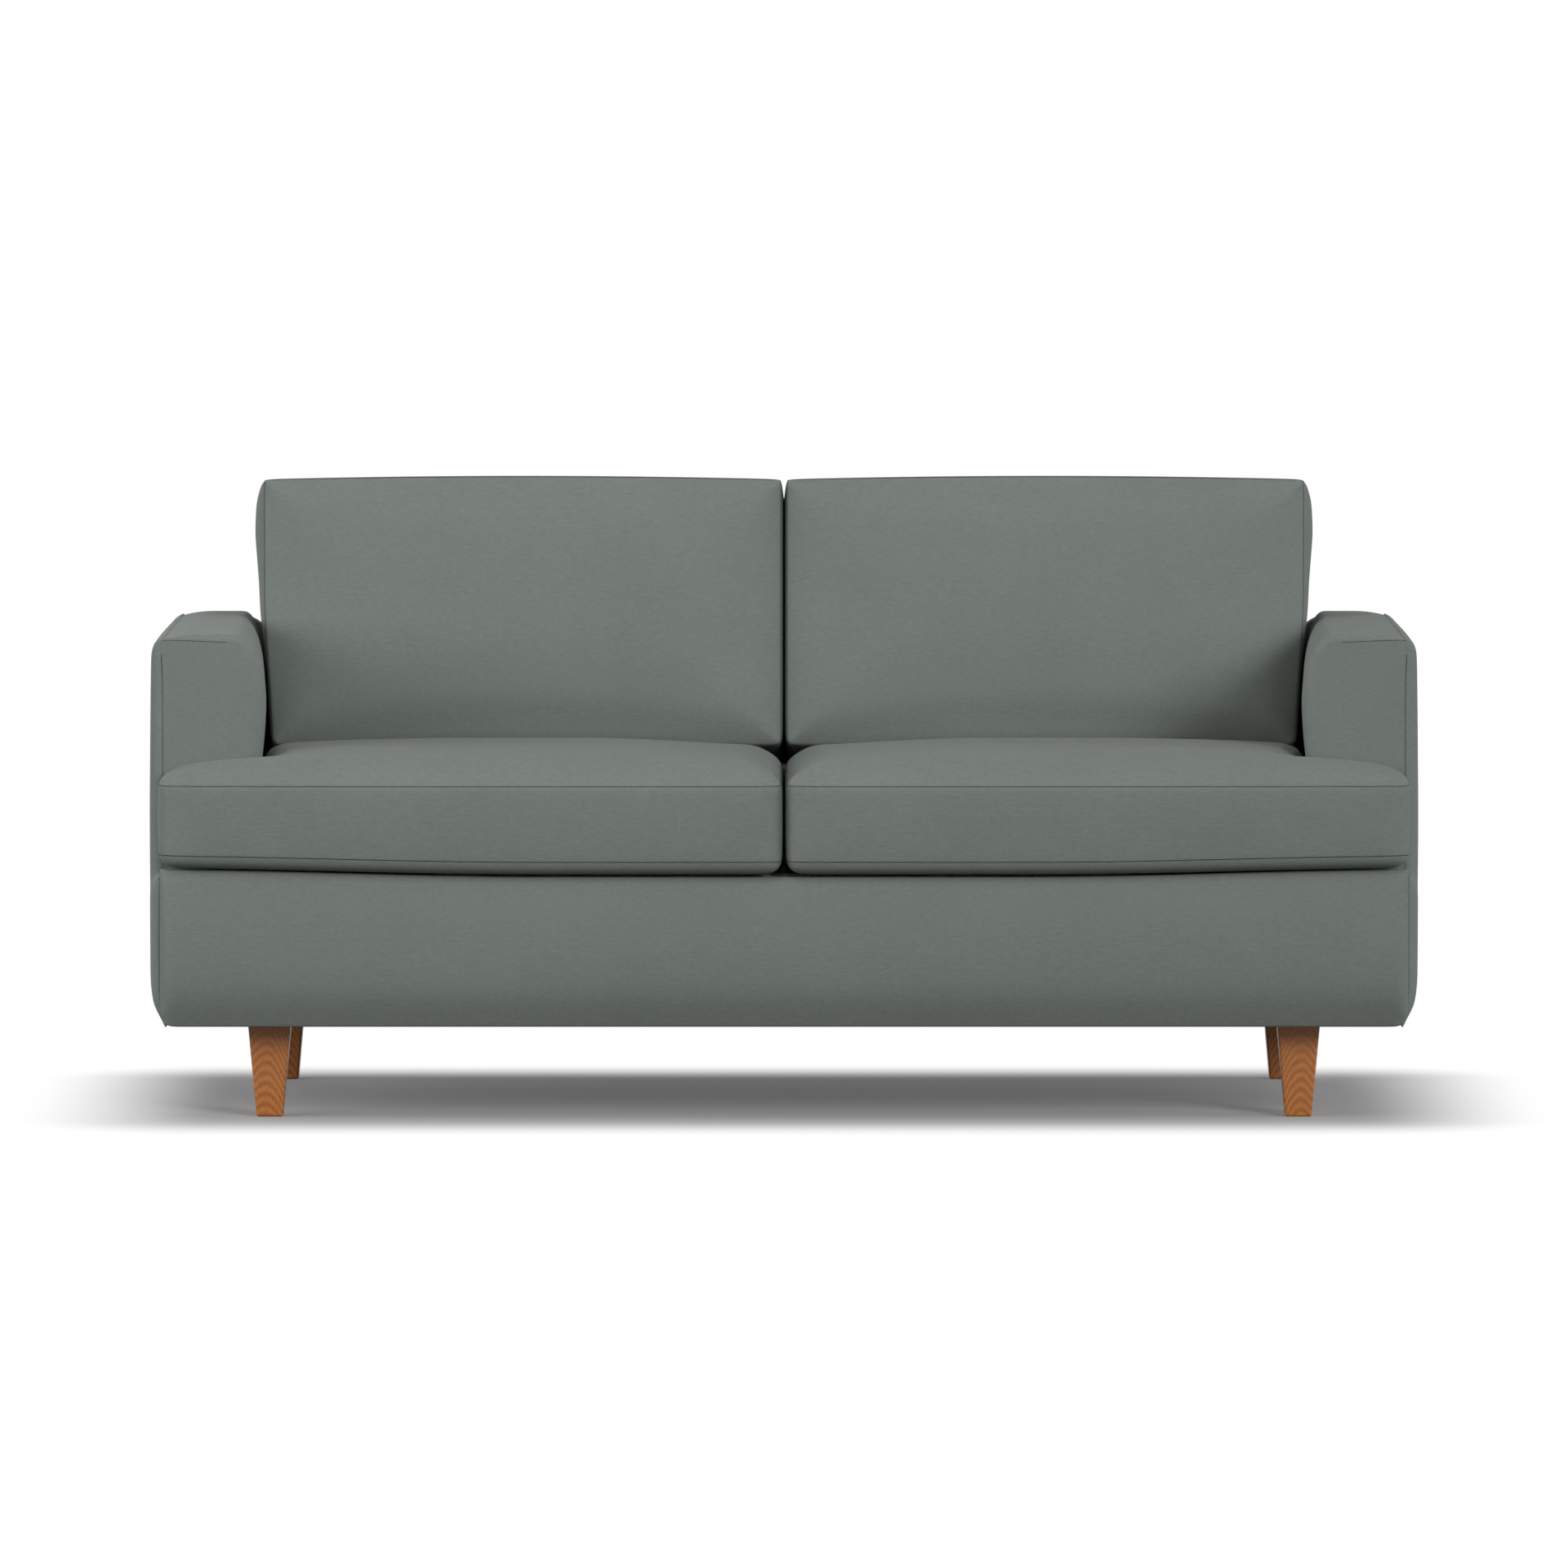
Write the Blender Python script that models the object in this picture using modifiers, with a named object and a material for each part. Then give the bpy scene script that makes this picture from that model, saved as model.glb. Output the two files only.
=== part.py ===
"""Two-seat sofa bed: an upholstered sofa on four tapered wooden legs, with a
three-section bed folded in a Z under its seat cushions.

Metres, +Z up, the front faces -Y, left and right are as seen from the front.
The origin is on the floor under the middle of the sofa.

The bed swings out on one hinge behind the front rail. Its middle section turns
over, while the head and foot sections stay level on hinges at its two ends.
"""

import math

import bmesh
import bpy
from mathutils import Matrix, Vector

# The sofa as a whole
DEPTH = 0.970
GAP = 0.0003  # between faces that touch on the real sofa
PLAY = 0.0005  # between layers of the folded bed
OVERRUN = 0.002  # how far a piece that is joined to another reaches into it

# Half width at the arms' outer seams, and the layout across the sofa from it
ARM_SEAM = 0.885
ARM_WIDTH = 0.1495
ARM_SPLAY = 0.0395  # how far the inside of an arm opens outward to the rear
BASE_INSET = 0.005
LEG_INSET = 0.154
CUSHION_CLEAR = 0.0075  # between a seat cushion and the arm
BED_CLEAR = 0.022  # between the bed's side rails and the arm's face
MATTRESS_INSET = 0.0235
BACK_INSET = 0.015
BACK_POST_INSET = 0.005
BACK_CUSHION_LAP = 0.0085  # how far the foot of a back cushion reaches past the arm's front corner

# Wooden legs, their steel plates and the slats above them
LEG_HEIGHT = 0.134
LEG_TOP = 0.061
LEG_FOOT = 0.0375
LEG_EDGE = 0.003
LEG_SETBACK = 0.125  # from the front of the base, and from the back, to a leg's middle
LEG_PLATE = 0.003
LEG_PLATE_SIDE = 0.072
SLAT_THICK = 0.019
SLAT_WIDTH = 0.066

# Base
BASE_HEIGHT = 0.2165  # from the top of the legs to the seat plane
BASE_PAD = 0.012
BASE_SWELL = 0.008
BASE_DROP = 0.003  # from the seat plane to the top of the front panel
CUSHION_PROUD = 0.014  # how far the seat cushions stand out over the front panel
RAIL_THICK = 0.025
RAIL_DROP = 0.0055  # from the seat plane to the top of the wooden rails
SIDE_RAIL_THICK = 0.035
DUST_COVER = 0.002
EDGE = 0.002  # broken edges of sawn timber

# Seat cushions
CUSHION_HALF_GAP = 0.003
EAR_DEPTH = 0.142
CUSHION_TO_DECK = 0.012
CUSHION_BAND = 0.109  # height of the side band between the two seams
CUSHION_BELOW = 0.016  # swell of the underside in front of the base
CUSHION_CROWN = 0.050
CUSHION_REACH = 0.210
CUSHION_DRAW = 0.006
CUSHION_STEP = 0.110
EAR_GAP = 0.008

# Arms
ARM_RISE = 0.3345  # above the seat plane, as the other rises are
ARM_CORNER_WIDE = 0.055
ARM_CORNER_HIGH = 0.110
ARM_CORNER_POWER = 2.2  # of the superellipse that the inner top corner follows
ARM_CORNER_STEPS = 6
ARM_LINING_CORNER = 0.030  # radius of the corner on the timber side of the padding
ARM_PAD = 0.025
ARM_TOP_PAD = 0.0297
ARM_FACE = 0.020
ARM_FACE_SWELL = 0.006
ARM_FACE_ROLL = 0.0385
SIDE_SWELL = 0.041  # of the outside panel, from its edge
SIDE_EDGE = 0.008
SIDE_PAD = 0.020
SIDE_ROLL = 0.060
PAD_ROLL = 0.030
PANEL_STEP = 0.294
SIDE_STEP = 0.194
FACE_STEP = 0.0885
ARM_POST_DEPTH = 0.035
ARM_RAIL_WIDTH = 0.040
ARM_RAIL_HEIGHT = 0.025

# Back
BACK_RISE = 0.4995
BACK_PAD = 0.025
BACK_SWELL = 0.010
BACK_POST_WIDTH = 0.040
BACK_POST_DEPTH = 0.055
BACK_RAIL_HEIGHT = 0.040
BACK_CAP = 0.008  # padding over the top rail
DECK_RISE = 0.0995  # to the underside of the board that the back cushions stand on
DECK_THICK = 0.018
DECK_REVEAL = 0.025  # how far the board stands out under the back cushions
LEAN = math.radians(7)
BACK_CUSHION_RISE = 0.5355
BACK_CUSHION_BACKSET = 0.335  # from the back of the sofa to the foot of their front face
BACK_CUSHION_THICK = 0.160
BACK_CUSHION_REST = 0.0024  # between a back cushion and the inside back
BACK_CUSHION_CROWN = 0.024
BACK_CUSHION_REACH = 0.170
BACK_CUSHION_STEP = 0.090
# Half width of the pair of back cushions up their height, over the width at the bottom
BACK_CUSHION_WIDTH_SHARES = ((0.0, 1.0), (0.3, 1.013), (0.6, 1.026), (0.85, 1.034), (1.0, 1.020))

# Folding bed
SLAT_CLEAR = 0.0022  # between the folded bed and the slats under it
BED_RAIL = 0.018
MATTRESS_EDGE = 0.0075
BED_DECK = 0.003
PIVOT_RADIUS = 0.016
PIVOT_PIN = 0.006
PIN_RADIUS = 0.004
PIN_PLAY = 0.0003
LUG_RADIUS = 0.011
LUG_THICK = 0.004
LUG_REACH = 0.040
LEAF = 0.007  # thickness of the two hinge leaves between body and foot section
STRAP = 0.004
STRAP_PLAY = 0.001
SIDE_PLATE = 0.004
SIDE_PLATE_PLAY = 0.003
PIVOT_DROP = 0.0013  # of the pivot's boss, below the seat plane
FOOT_HINGE_BEHIND = 0.0013  # the seat cushions' rear
HEAD_BACKSET = 0.210  # from the back of the sofa to the end of the head section
SECTION_END = 0.004
RAIL_END = 0.0165
FOOT_FRONT_PLAY = 0.005
LINK_BEHIND = 0.110  # the hinge of the foot section
LINK_DROP = 0.030
FOLD_LEG_WIDTH = 0.016
FOLD_LEG_INSET = 0.020
TUBE = 0.014
PLATE_RAISE = 0.056  # of the side plates, above the legs
UPRIGHT_BACKSET = 0.145
UPRIGHT_WIDTH = 0.170

# Shares of a roll or reach at which a padded form has a grid line near its edge
ROLL_SHARES = (0.12, 0.40, 1.0)
PIN_SIDES = 16
EDGE_SEGMENTS = 2
SAME_POINT = 1e-6

# Places that follow from the sizes above
ARM_INNER_FRONT = ARM_SEAM - ARM_WIDTH
ARM_INNER_REAR = ARM_INNER_FRONT + ARM_SPLAY
BASE_HALF = ARM_SEAM - BASE_INSET
LEG_X = ARM_SEAM - LEG_INSET
CUSHION_SIDE = ARM_INNER_FRONT - CUSHION_CLEAR
EAR_SIDE = ARM_SEAM
BED_RAIL_OUT = ARM_INNER_FRONT - BED_CLEAR
MATTRESS_HALF = BED_RAIL_OUT - MATTRESS_INSET
BACK_HALF = ARM_INNER_REAR - BACK_INSET
BACK_POST_OUT = BACK_HALF - BACK_POST_INSET
BACK_CUSHION_LOW_HALF = ARM_INNER_FRONT + BACK_CUSHION_LAP
SEAT_Z = LEG_HEIGHT + BASE_HEIGHT
ARM_TOP = SEAT_Z + ARM_RISE
BACK_TOP = SEAT_Z + BACK_RISE
DECK_Z = SEAT_Z + DECK_RISE
BACK_CUSHION_TOP = SEAT_Z + BACK_CUSHION_RISE
PLATE_BOTTOM = LEG_HEIGHT + PLATE_RAISE
FRONT = -DEPTH / 2
BACK = DEPTH / 2
BACK_CUSHION_FRONT = BACK - BACK_CUSHION_BACKSET
DECK_FRONT = BACK_CUSHION_FRONT - DECK_REVEAL
CUSHION_REAR = DECK_FRONT - CUSHION_TO_DECK
PANEL_FRONT = FRONT + CUSHION_PROUD
PANEL_REAR = PANEL_FRONT + BASE_SWELL + BASE_PAD
RAIL_FRONT = PANEL_REAR + GAP
RAIL_REAR = RAIL_FRONT + RAIL_THICK
BACK_PANEL_FRONT = BACK - BACK_SWELL - BACK_PAD
FRAME_REAR = BACK_PANEL_FRONT - GAP
BACK_POST_FRONT = FRAME_REAR - BACK_POST_DEPTH
FRAME_BOTTOM = LEG_HEIGHT + LEG_PLATE + GAP
RAIL_TOP = SEAT_Z - RAIL_DROP
# Three mattress panels and three pairs of rails fill the base when the bed is folded.
BED_ROOM = SEAT_Z - FRAME_BOTTOM - SLAT_THICK - SLAT_CLEAR
MATTRESS = (BED_ROOM - 3 * BED_RAIL - 6 * PLAY) / 3
PAD_BOTTOM = LEG_HEIGHT + GAP
STRAP_IN_A = BED_RAIL_OUT + STRAP_PLAY
STRAP_IN_B = STRAP_IN_A + STRAP + STRAP_PLAY
PLATE_IN = STRAP_IN_B + STRAP + SIDE_PLATE_PLAY
PLATE_OUT = PLATE_IN + SIDE_PLATE
SIDE_RAIL_IN = PLATE_OUT + GAP
SIDE_RAIL_OUT = SIDE_RAIL_IN + SIDE_RAIL_THICK
SIDE_PANEL_IN = ARM_SEAM - SIDE_PAD
ARM_FRONT = FRONT + EAR_DEPTH + EAR_GAP
ARM_PAD_FRONT = ARM_FRONT + ARM_FACE + GAP
ARM_RAIL_TOP = ARM_TOP - ARM_TOP_PAD - GAP
ARM_RAIL_BOTTOM = ARM_RAIL_TOP - ARM_RAIL_HEIGHT
ARM_RAIL_OUT = SIDE_PANEL_IN - GAP
ARM_RAIL_IN = ARM_RAIL_OUT - ARM_RAIL_WIDTH
ARM_POST_IN = SIDE_RAIL_OUT + GAP
DECK_TOP = DECK_Z + DECK_THICK
BACK_RAIL_TOP = BACK_TOP - BACK_CAP - GAP

# Layers of the folded bed, from the seat plane down
FOOT_TOP = SEAT_Z - PLAY
FOOT_RAIL_TOP = FOOT_TOP - MATTRESS - PLAY
FOOT_RAIL_BOTTOM = FOOT_RAIL_TOP - BED_RAIL
FOOT_HINGE_Z = FOOT_RAIL_BOTTOM - PLAY / 2
BODY_RAIL_TOP = FOOT_RAIL_BOTTOM - PLAY
BODY_RAIL_BOTTOM = BODY_RAIL_TOP - BED_RAIL
BODY_TOP = BODY_RAIL_BOTTOM - PLAY
BODY_BOTTOM = BODY_TOP - MATTRESS
HEAD_HINGE_Z = BODY_BOTTOM - PLAY / 2
HEAD_TOP = BODY_BOTTOM - PLAY
HEAD_RAIL_TOP = HEAD_TOP - MATTRESS - PLAY
HEAD_RAIL_BOTTOM = HEAD_RAIL_TOP - BED_RAIL

# Hinge axes, all along X
PIVOT_Y = RAIL_REAR + PIVOT_RADIUS + SECTION_END
PIVOT_Z = SEAT_Z - PIVOT_RADIUS - PIVOT_DROP
FOOT_HINGE_Y = CUSHION_REAR + FOOT_HINGE_BEHIND
LINK_Y = FOOT_HINGE_Y + LINK_BEHIND
HEAD_REAR = BACK - HEAD_BACKSET
LINK_TOP_Z = PIVOT_Z - LINK_DROP
LINK_LOW_Z = HEAD_HINGE_Z - LINK_DROP
BED_FRONT = PIVOT_Y + SECTION_END
FOOT_FRONT = RAIL_REAR + FOOT_FRONT_PLAY
FOOT_LEG_Y = FOOT_FRONT + FOLD_LEG_INSET
FOOT_LEG_Z = (FOOT_RAIL_BOTTOM + FOOT_RAIL_TOP) / 2
MID_LEG_Y = FOOT_HINGE_Y - FOLD_LEG_INSET
MID_LEG_Z = (BODY_RAIL_BOTTOM + BODY_RAIL_TOP) / 2
FOLD_LEG = 2 * PIVOT_Z - MID_LEG_Z - FOLD_LEG_WIDTH / 2 - PLAY

for old in list(bpy.data.objects):
    bpy.data.objects.remove(old)

sofa_bed = bpy.data.collections.new("sofa_bed")
bpy.context.scene.collection.children.link(sofa_bed)
cutters = bpy.data.collections.new("cutters")
bpy.context.scene.collection.children.link(cutters)


def finish(name, colour, roughness, metallic=0.0):
    """A Principled BSDF material with a linear colour."""
    made = bpy.data.materials.new(name)
    made.use_nodes = True
    shader = made.node_tree.nodes["Principled BSDF"]
    shader.inputs["Base Color"].default_value = (*colour, 1.0)
    shader.inputs["Roughness"].default_value = roughness
    shader.inputs["Metallic"].default_value = metallic
    return made


FABRIC = finish("woven_fabric", (0.155, 0.175, 0.165), 0.9)
LEG_WOOD = finish("leg_wood", (0.32, 0.12, 0.03), 0.45)
TIMBER = finish("frame_timber", (0.60, 0.44, 0.27), 0.7)
BOARD = finish("plywood", (0.62, 0.47, 0.30), 0.7)
STEEL = finish("painted_steel", (0.05, 0.05, 0.055), 0.4, 0.6)
PLATED = finish("plated_steel", (0.55, 0.55, 0.56), 0.35, 1.0)
TICKING = finish("mattress_ticking", (0.72, 0.71, 0.68), 0.9)
MESH_DECK = finish("bed_deck_cloth", (0.06, 0.06, 0.06), 0.85)
DUST_CLOTH = finish("dust_cloth", (0.02, 0.02, 0.02), 0.95)


def place(name, mesh, material, at=(0, 0, 0)):
    """An object in the sofa's collection, at a point."""
    mesh.materials.clear()
    mesh.materials.append(material)
    obj = bpy.data.objects.new(name, mesh)
    obj.location = at
    sofa_bed.objects.link(obj)
    return obj


def mesh_of(bm, name, outward=False):
    """The bmesh as a mesh, with its faces turned outward where they were built by hand."""
    if outward:
        bmesh.ops.recalc_face_normals(bm, faces=bm.faces)
        if bm.calc_volume(signed=True) < 0:
            bmesh.ops.reverse_faces(bm, faces=bm.faces)
    mesh = bpy.data.meshes.new(name)
    bm.to_mesh(mesh)
    bm.free()
    return mesh


def box(name, x, y, z, material, round_by=0):
    """A block between two values on each axis, with its edges rounded."""
    size = Vector((x[1] - x[0], y[1] - y[0], z[1] - z[0]))
    middle = Vector((x[0] + x[1], y[0] + y[1], z[0] + z[1])) / 2
    bm = bmesh.new()
    bmesh.ops.create_cube(bm, size=1)
    bmesh.ops.scale(bm, vec=size, verts=bm.verts)
    obj = place(name, mesh_of(bm, name), material, middle)
    if round_by:
        bevel = obj.modifiers.new("edges", "BEVEL")
        bevel.width = round_by
        bevel.segments = EDGE_SEGMENTS
    return obj


def across(side, inner, outer):
    """The span in X between two distances from the middle, on one side."""
    return tuple(sorted((side * inner, side * outer)))


def fuse(base, *others):
    """Joins each other object to the base with a Boolean union."""
    for other in others:
        sofa_bed.objects.unlink(other)
        cutters.objects.link(other)
        other.hide_render = True
        other.display_type = "WIRE"
        union = base.modifiers.new("join " + other.name, "BOOLEAN")
        union.operation = "UNION"
        union.solver = "EXACT"
        union.object = other
    return base


def circle(y, z, radius, sides=PIN_SIDES):
    """Points on a circle in the YZ plane."""
    turn = 2 * math.pi / sides
    return [(y + radius * math.cos(turn * i), z + radius * math.sin(turn * i)) for i in range(sides)]


def wrap(points):
    """The convex outline around points in a plane."""
    points = sorted(set(points))

    def half(run):
        line = []
        for p in run:
            while len(line) > 1 and (
                (line[-1][0] - line[-2][0]) * (p[1] - line[-2][1])
                <= (line[-1][1] - line[-2][1]) * (p[0] - line[-2][0])
            ):
                line.pop()
            line.append(p)
        return line[:-1]

    return half(points) + half(points[::-1])


def sheet_metal(name, side, outline, inner, outer, material, holes=()):
    """A flat plate cut to an outline in the YZ plane, with round holes, between two distances in X."""
    flat = bpy.data.curves.new(name, "CURVE")
    flat.dimensions = "2D"
    flat.fill_mode = "BOTH"
    flat.extrude = (outer - inner) / 2
    for points in (outline, *[circle(*hole) for hole in holes]):
        spline = flat.splines.new("POLY")
        spline.points.add(len(points) - 1)
        for point, (y, z) in zip(spline.points, points):
            point.co = (y, z, 0, 1)
        spline.use_cyclic_u = True
    guide = bpy.data.objects.new(name + "_outline", flat)
    bpy.context.scene.collection.objects.link(guide)
    bpy.context.view_layer.update()
    mesh = bpy.data.meshes.new_from_object(guide.evaluated_get(bpy.context.evaluated_depsgraph_get()))
    bpy.data.objects.remove(guide)
    bm = bmesh.new()
    bm.from_mesh(mesh)
    bmesh.ops.remove_doubles(bm, verts=bm.verts, dist=SAME_POINT)
    stand_up = Matrix(((0, 0, 1, 0), (1, 0, 0, 0), (0, 1, 0, 0), (0, 0, 0, 1)))
    shift = Matrix.Translation((side * (inner + outer) / 2, 0, 0))
    bm.transform(shift @ stand_up)
    return place(name, mesh_of(bm, name, True), material)


def pin(name, side, y, z, radius, inner, outer, material):
    """A round pin along X."""
    bm = bmesh.new()
    bmesh.ops.create_cone(
        bm, cap_ends=True, segments=PIN_SIDES, radius1=radius, radius2=radius, depth=outer - inner
    )
    bm.transform(Matrix.Rotation(math.pi / 2, 4, "Y"))
    return place(name, mesh_of(bm, name), material, (side * (inner + outer) / 2, y, z))


def edge_distance(u, v, outline):
    """How far a point lies from an outline in its plane."""
    nearest = math.inf
    for (ua, va), (ub, vb) in zip(outline, outline[1:] + outline[:1]):
        run = Vector((ub - ua, vb - va))
        along = max(0.0, min(1.0, Vector((u - ua, v - va)).dot(run) / run.length_squared))
        nearest = min(nearest, (Vector((u - ua, v - va)) - along * run).length)
    return nearest


def inside(u, v, outline):
    """True where a point lies within an outline."""
    found = False
    for (ua, va), (ub, vb) in zip(outline, outline[1:] + outline[:1]):
        if (va > v) != (vb > v) and u < (ub - ua) * (v - va) / (vb - va) + ua:
            found = not found
    return found


def grid_lines(stops, roll, step):
    """Lines at the stops, close together within a roll of each, and a step apart between."""
    stops = sorted(set(stops))
    lines = set(stops)
    for low, high in zip(stops, stops[1:]):
        near = min(roll, (high - low) / 2)
        for share in ROLL_SHARES:
            lines |= {low + near * share, high - near * share}
        count = math.ceil(max(high - low - 2 * near, 0) / step)
        for i in range(1, count):
            lines.add(low + near + (high - low - 2 * near) * i / count)
    tidy = []
    for line in sorted(lines):
        if not tidy or line - tidy[-1] > PLAY:
            tidy.append(line)
    return tidy


def swell_share(distance, reach):
    """How far a padded face has risen at a distance from its seam, from 0 to 1."""
    left = 1 - min(distance / reach, 1.0)
    return math.sqrt(1 - left * left)


def padded(name, outline, thick, swell, under, roll, step, axes, at, material, form=None):
    """A padded form: a grid cut to an outline in a plane, thickened along the third axis,
    whose face swells away from the seams, and whose underside swells by the second amount.
    axes holds the world directions of the plane's two axes and of the thickness."""
    us = grid_lines([u for u, v in outline], roll, step)
    vs = grid_lines([v for u, v in outline], roll, step)
    columns = len(us) - 1
    rows = len(vs) - 1
    bm = bmesh.new()
    bmesh.ops.create_grid(bm, x_segments=columns, y_segments=rows, size=1)
    for vert in bm.verts:
        column = round((vert.co.x + 1) / 2 * columns)
        row = round((vert.co.y + 1) / 2 * rows)
        vert.co = (us[column], vs[row], 0)
    spare = [f for f in bm.faces if not inside(*f.calc_center_median().xy, outline)]
    bmesh.ops.delete(bm, geom=spare, context="FACES")
    lifted = bmesh.ops.extrude_face_region(bm, geom=bm.faces[:], use_keep_orig=True)
    for item in lifted["geom"]:
        if isinstance(item, bmesh.types.BMVert):
            item.co.z = thick
    for vert in bm.verts:
        risen = swell_share(edge_distance(*vert.co.xy, outline), roll)
        vert.co.z += risen * (swell if vert.co.z else -under)
    for vert in bm.verts if form else ():
        vert.co = form(vert.co)
    frame = Matrix([list(axis) + [0] for axis in axes] + [[0, 0, 0, 1]]).transposed()
    frame.translation = at
    bm.transform(frame)
    return place(name, mesh_of(bm, name, True), material)


X = Vector((1, 0, 0))
Y = Vector((0, 1, 0))
Z = Vector((0, 0, 1))


def rectangle(u, v):
    return [(u[0], v[0]), (u[1], v[0]), (u[1], v[1]), (u[0], v[1])]


def leg(name, x, y):
    """A square leg of solid wood that tapers to its foot, on a steel plate under the frame."""
    bm = bmesh.new()
    corner = math.sqrt(0.5)
    bmesh.ops.create_cone(
        bm,
        cap_ends=True,
        segments=4,
        radius1=LEG_FOOT * corner,
        radius2=LEG_TOP * corner,
        depth=LEG_HEIGHT - GAP,
    )
    bm.transform(Matrix.Rotation(math.pi / 4, 4, "Z"))
    obj = place(name, mesh_of(bm, name), LEG_WOOD, (x, y, (LEG_HEIGHT - GAP) / 2))
    bevel = obj.modifiers.new("edges", "BEVEL")
    bevel.width = LEG_EDGE
    bevel.segments = EDGE_SEGMENTS
    half = LEG_PLATE_SIDE / 2
    level = (LEG_HEIGHT, LEG_HEIGHT + LEG_PLATE)
    box(name.replace("leg", "leg_plate"), (x - half, x + half), (y - half, y + half), level, PLATED)


def base():
    """Timber rails and slats, the padded front panel and the cloth under the base."""
    rail_z = (FRAME_BOTTOM, RAIL_TOP)
    box("front_rail", (-SIDE_PANEL_IN + GAP, SIDE_PANEL_IN - GAP), (RAIL_FRONT, RAIL_REAR), rail_z, TIMBER, EDGE)
    inner_post = BACK_POST_OUT - BACK_POST_WIDTH - GAP
    box("rear_rail", (-inner_post, inner_post), (FRAME_REAR - RAIL_THICK, FRAME_REAR), rail_z, TIMBER, EDGE)
    slat_x = (GAP - SIDE_RAIL_IN, SIDE_RAIL_IN - GAP)
    slat_z = (FRAME_BOTTOM, FRAME_BOTTOM + SLAT_THICK)
    for name, y in (("front", PANEL_FRONT + LEG_SETBACK), ("rear", BACK - LEG_SETBACK)):
        box("bottom_slat_" + name, slat_x, (y - SLAT_WIDTH / 2, y + SLAT_WIDTH / 2), slat_z, TIMBER, EDGE)
    padded(
        "base_front_panel",
        rectangle((-BASE_HALF, BASE_HALF), (PAD_BOTTOM, SEAT_Z - BASE_DROP)),
        BASE_PAD,
        BASE_SWELL,
        0,
        PAD_ROLL,
        PANEL_STEP,
        (X, Z, -Y),
        (0, PANEL_REAR, 0),
        FABRIC,
    )
    # The cloth under the base spreads to the side panels between the legs.
    plate_reach = LEG_PLATE_SIDE / 2 + GAP
    clear = LEG_X - plate_reach
    wide = SIDE_PANEL_IN - GAP
    wide_y = (PANEL_FRONT + LEG_SETBACK + plate_reach, BACK - LEG_SETBACK - plate_reach)
    half = [
        (clear, RAIL_FRONT),
        (clear, wide_y[0]),
        (wide, wide_y[0]),
        (wide, wide_y[1]),
        (clear, wide_y[1]),
        (clear, FRAME_REAR),
    ]
    outline = half + [(-x, y) for x, y in reversed(half)]
    bm = bmesh.new()
    sheet = bm.faces.new([bm.verts.new((x, y, FRAME_BOTTOM - GAP)) for x, y in outline])
    lowered = bmesh.ops.extrude_face_region(bm, geom=[sheet], use_keep_orig=True)
    for item in lowered["geom"]:
        if isinstance(item, bmesh.types.BMVert):
            item.co.z -= DUST_COVER
    place("dust_cover", mesh_of(bm, "dust_cover", True), DUST_CLOTH)


def side_timber(side, word):
    """The side rail and the timber frame that an arm is upholstered over."""
    rail_z = (FRAME_BOTTOM, RAIL_TOP)
    rail_y = (RAIL_REAR + GAP, BACK_POST_FRONT - GAP)
    box("side_rail_" + word, across(side, SIDE_RAIL_IN, SIDE_RAIL_OUT), rail_y, rail_z, TIMBER, EDGE)
    post_z = (FRAME_BOTTOM, ARM_RAIL_BOTTOM - GAP)
    post_x = across(side, ARM_POST_IN, ARM_RAIL_OUT)
    front_y = (ARM_PAD_FRONT, ARM_PAD_FRONT + ARM_POST_DEPTH)
    box("arm_front_post_" + word, post_x, front_y, post_z, TIMBER, EDGE)
    rear_x = across(side, ARM_RAIL_IN, ARM_RAIL_OUT)
    rear_y = (FRAME_REAR - ARM_POST_DEPTH, FRAME_REAR)
    box("arm_rear_post_" + word, rear_x, rear_y, post_z, TIMBER, EDGE)
    top_z = (ARM_RAIL_BOTTOM, ARM_RAIL_TOP)
    box("arm_top_rail_" + word, rear_x, (ARM_PAD_FRONT, FRAME_REAR), top_z, TIMBER, EDGE)
    back_x = across(side, BACK_POST_OUT - BACK_POST_WIDTH, BACK_POST_OUT)
    back_y = (BACK_POST_FRONT, FRAME_REAR)
    back_z = (FRAME_BOTTOM, BACK_RAIL_TOP)
    box("back_post_" + word, back_x, back_y, back_z, TIMBER, EDGE)


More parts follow.
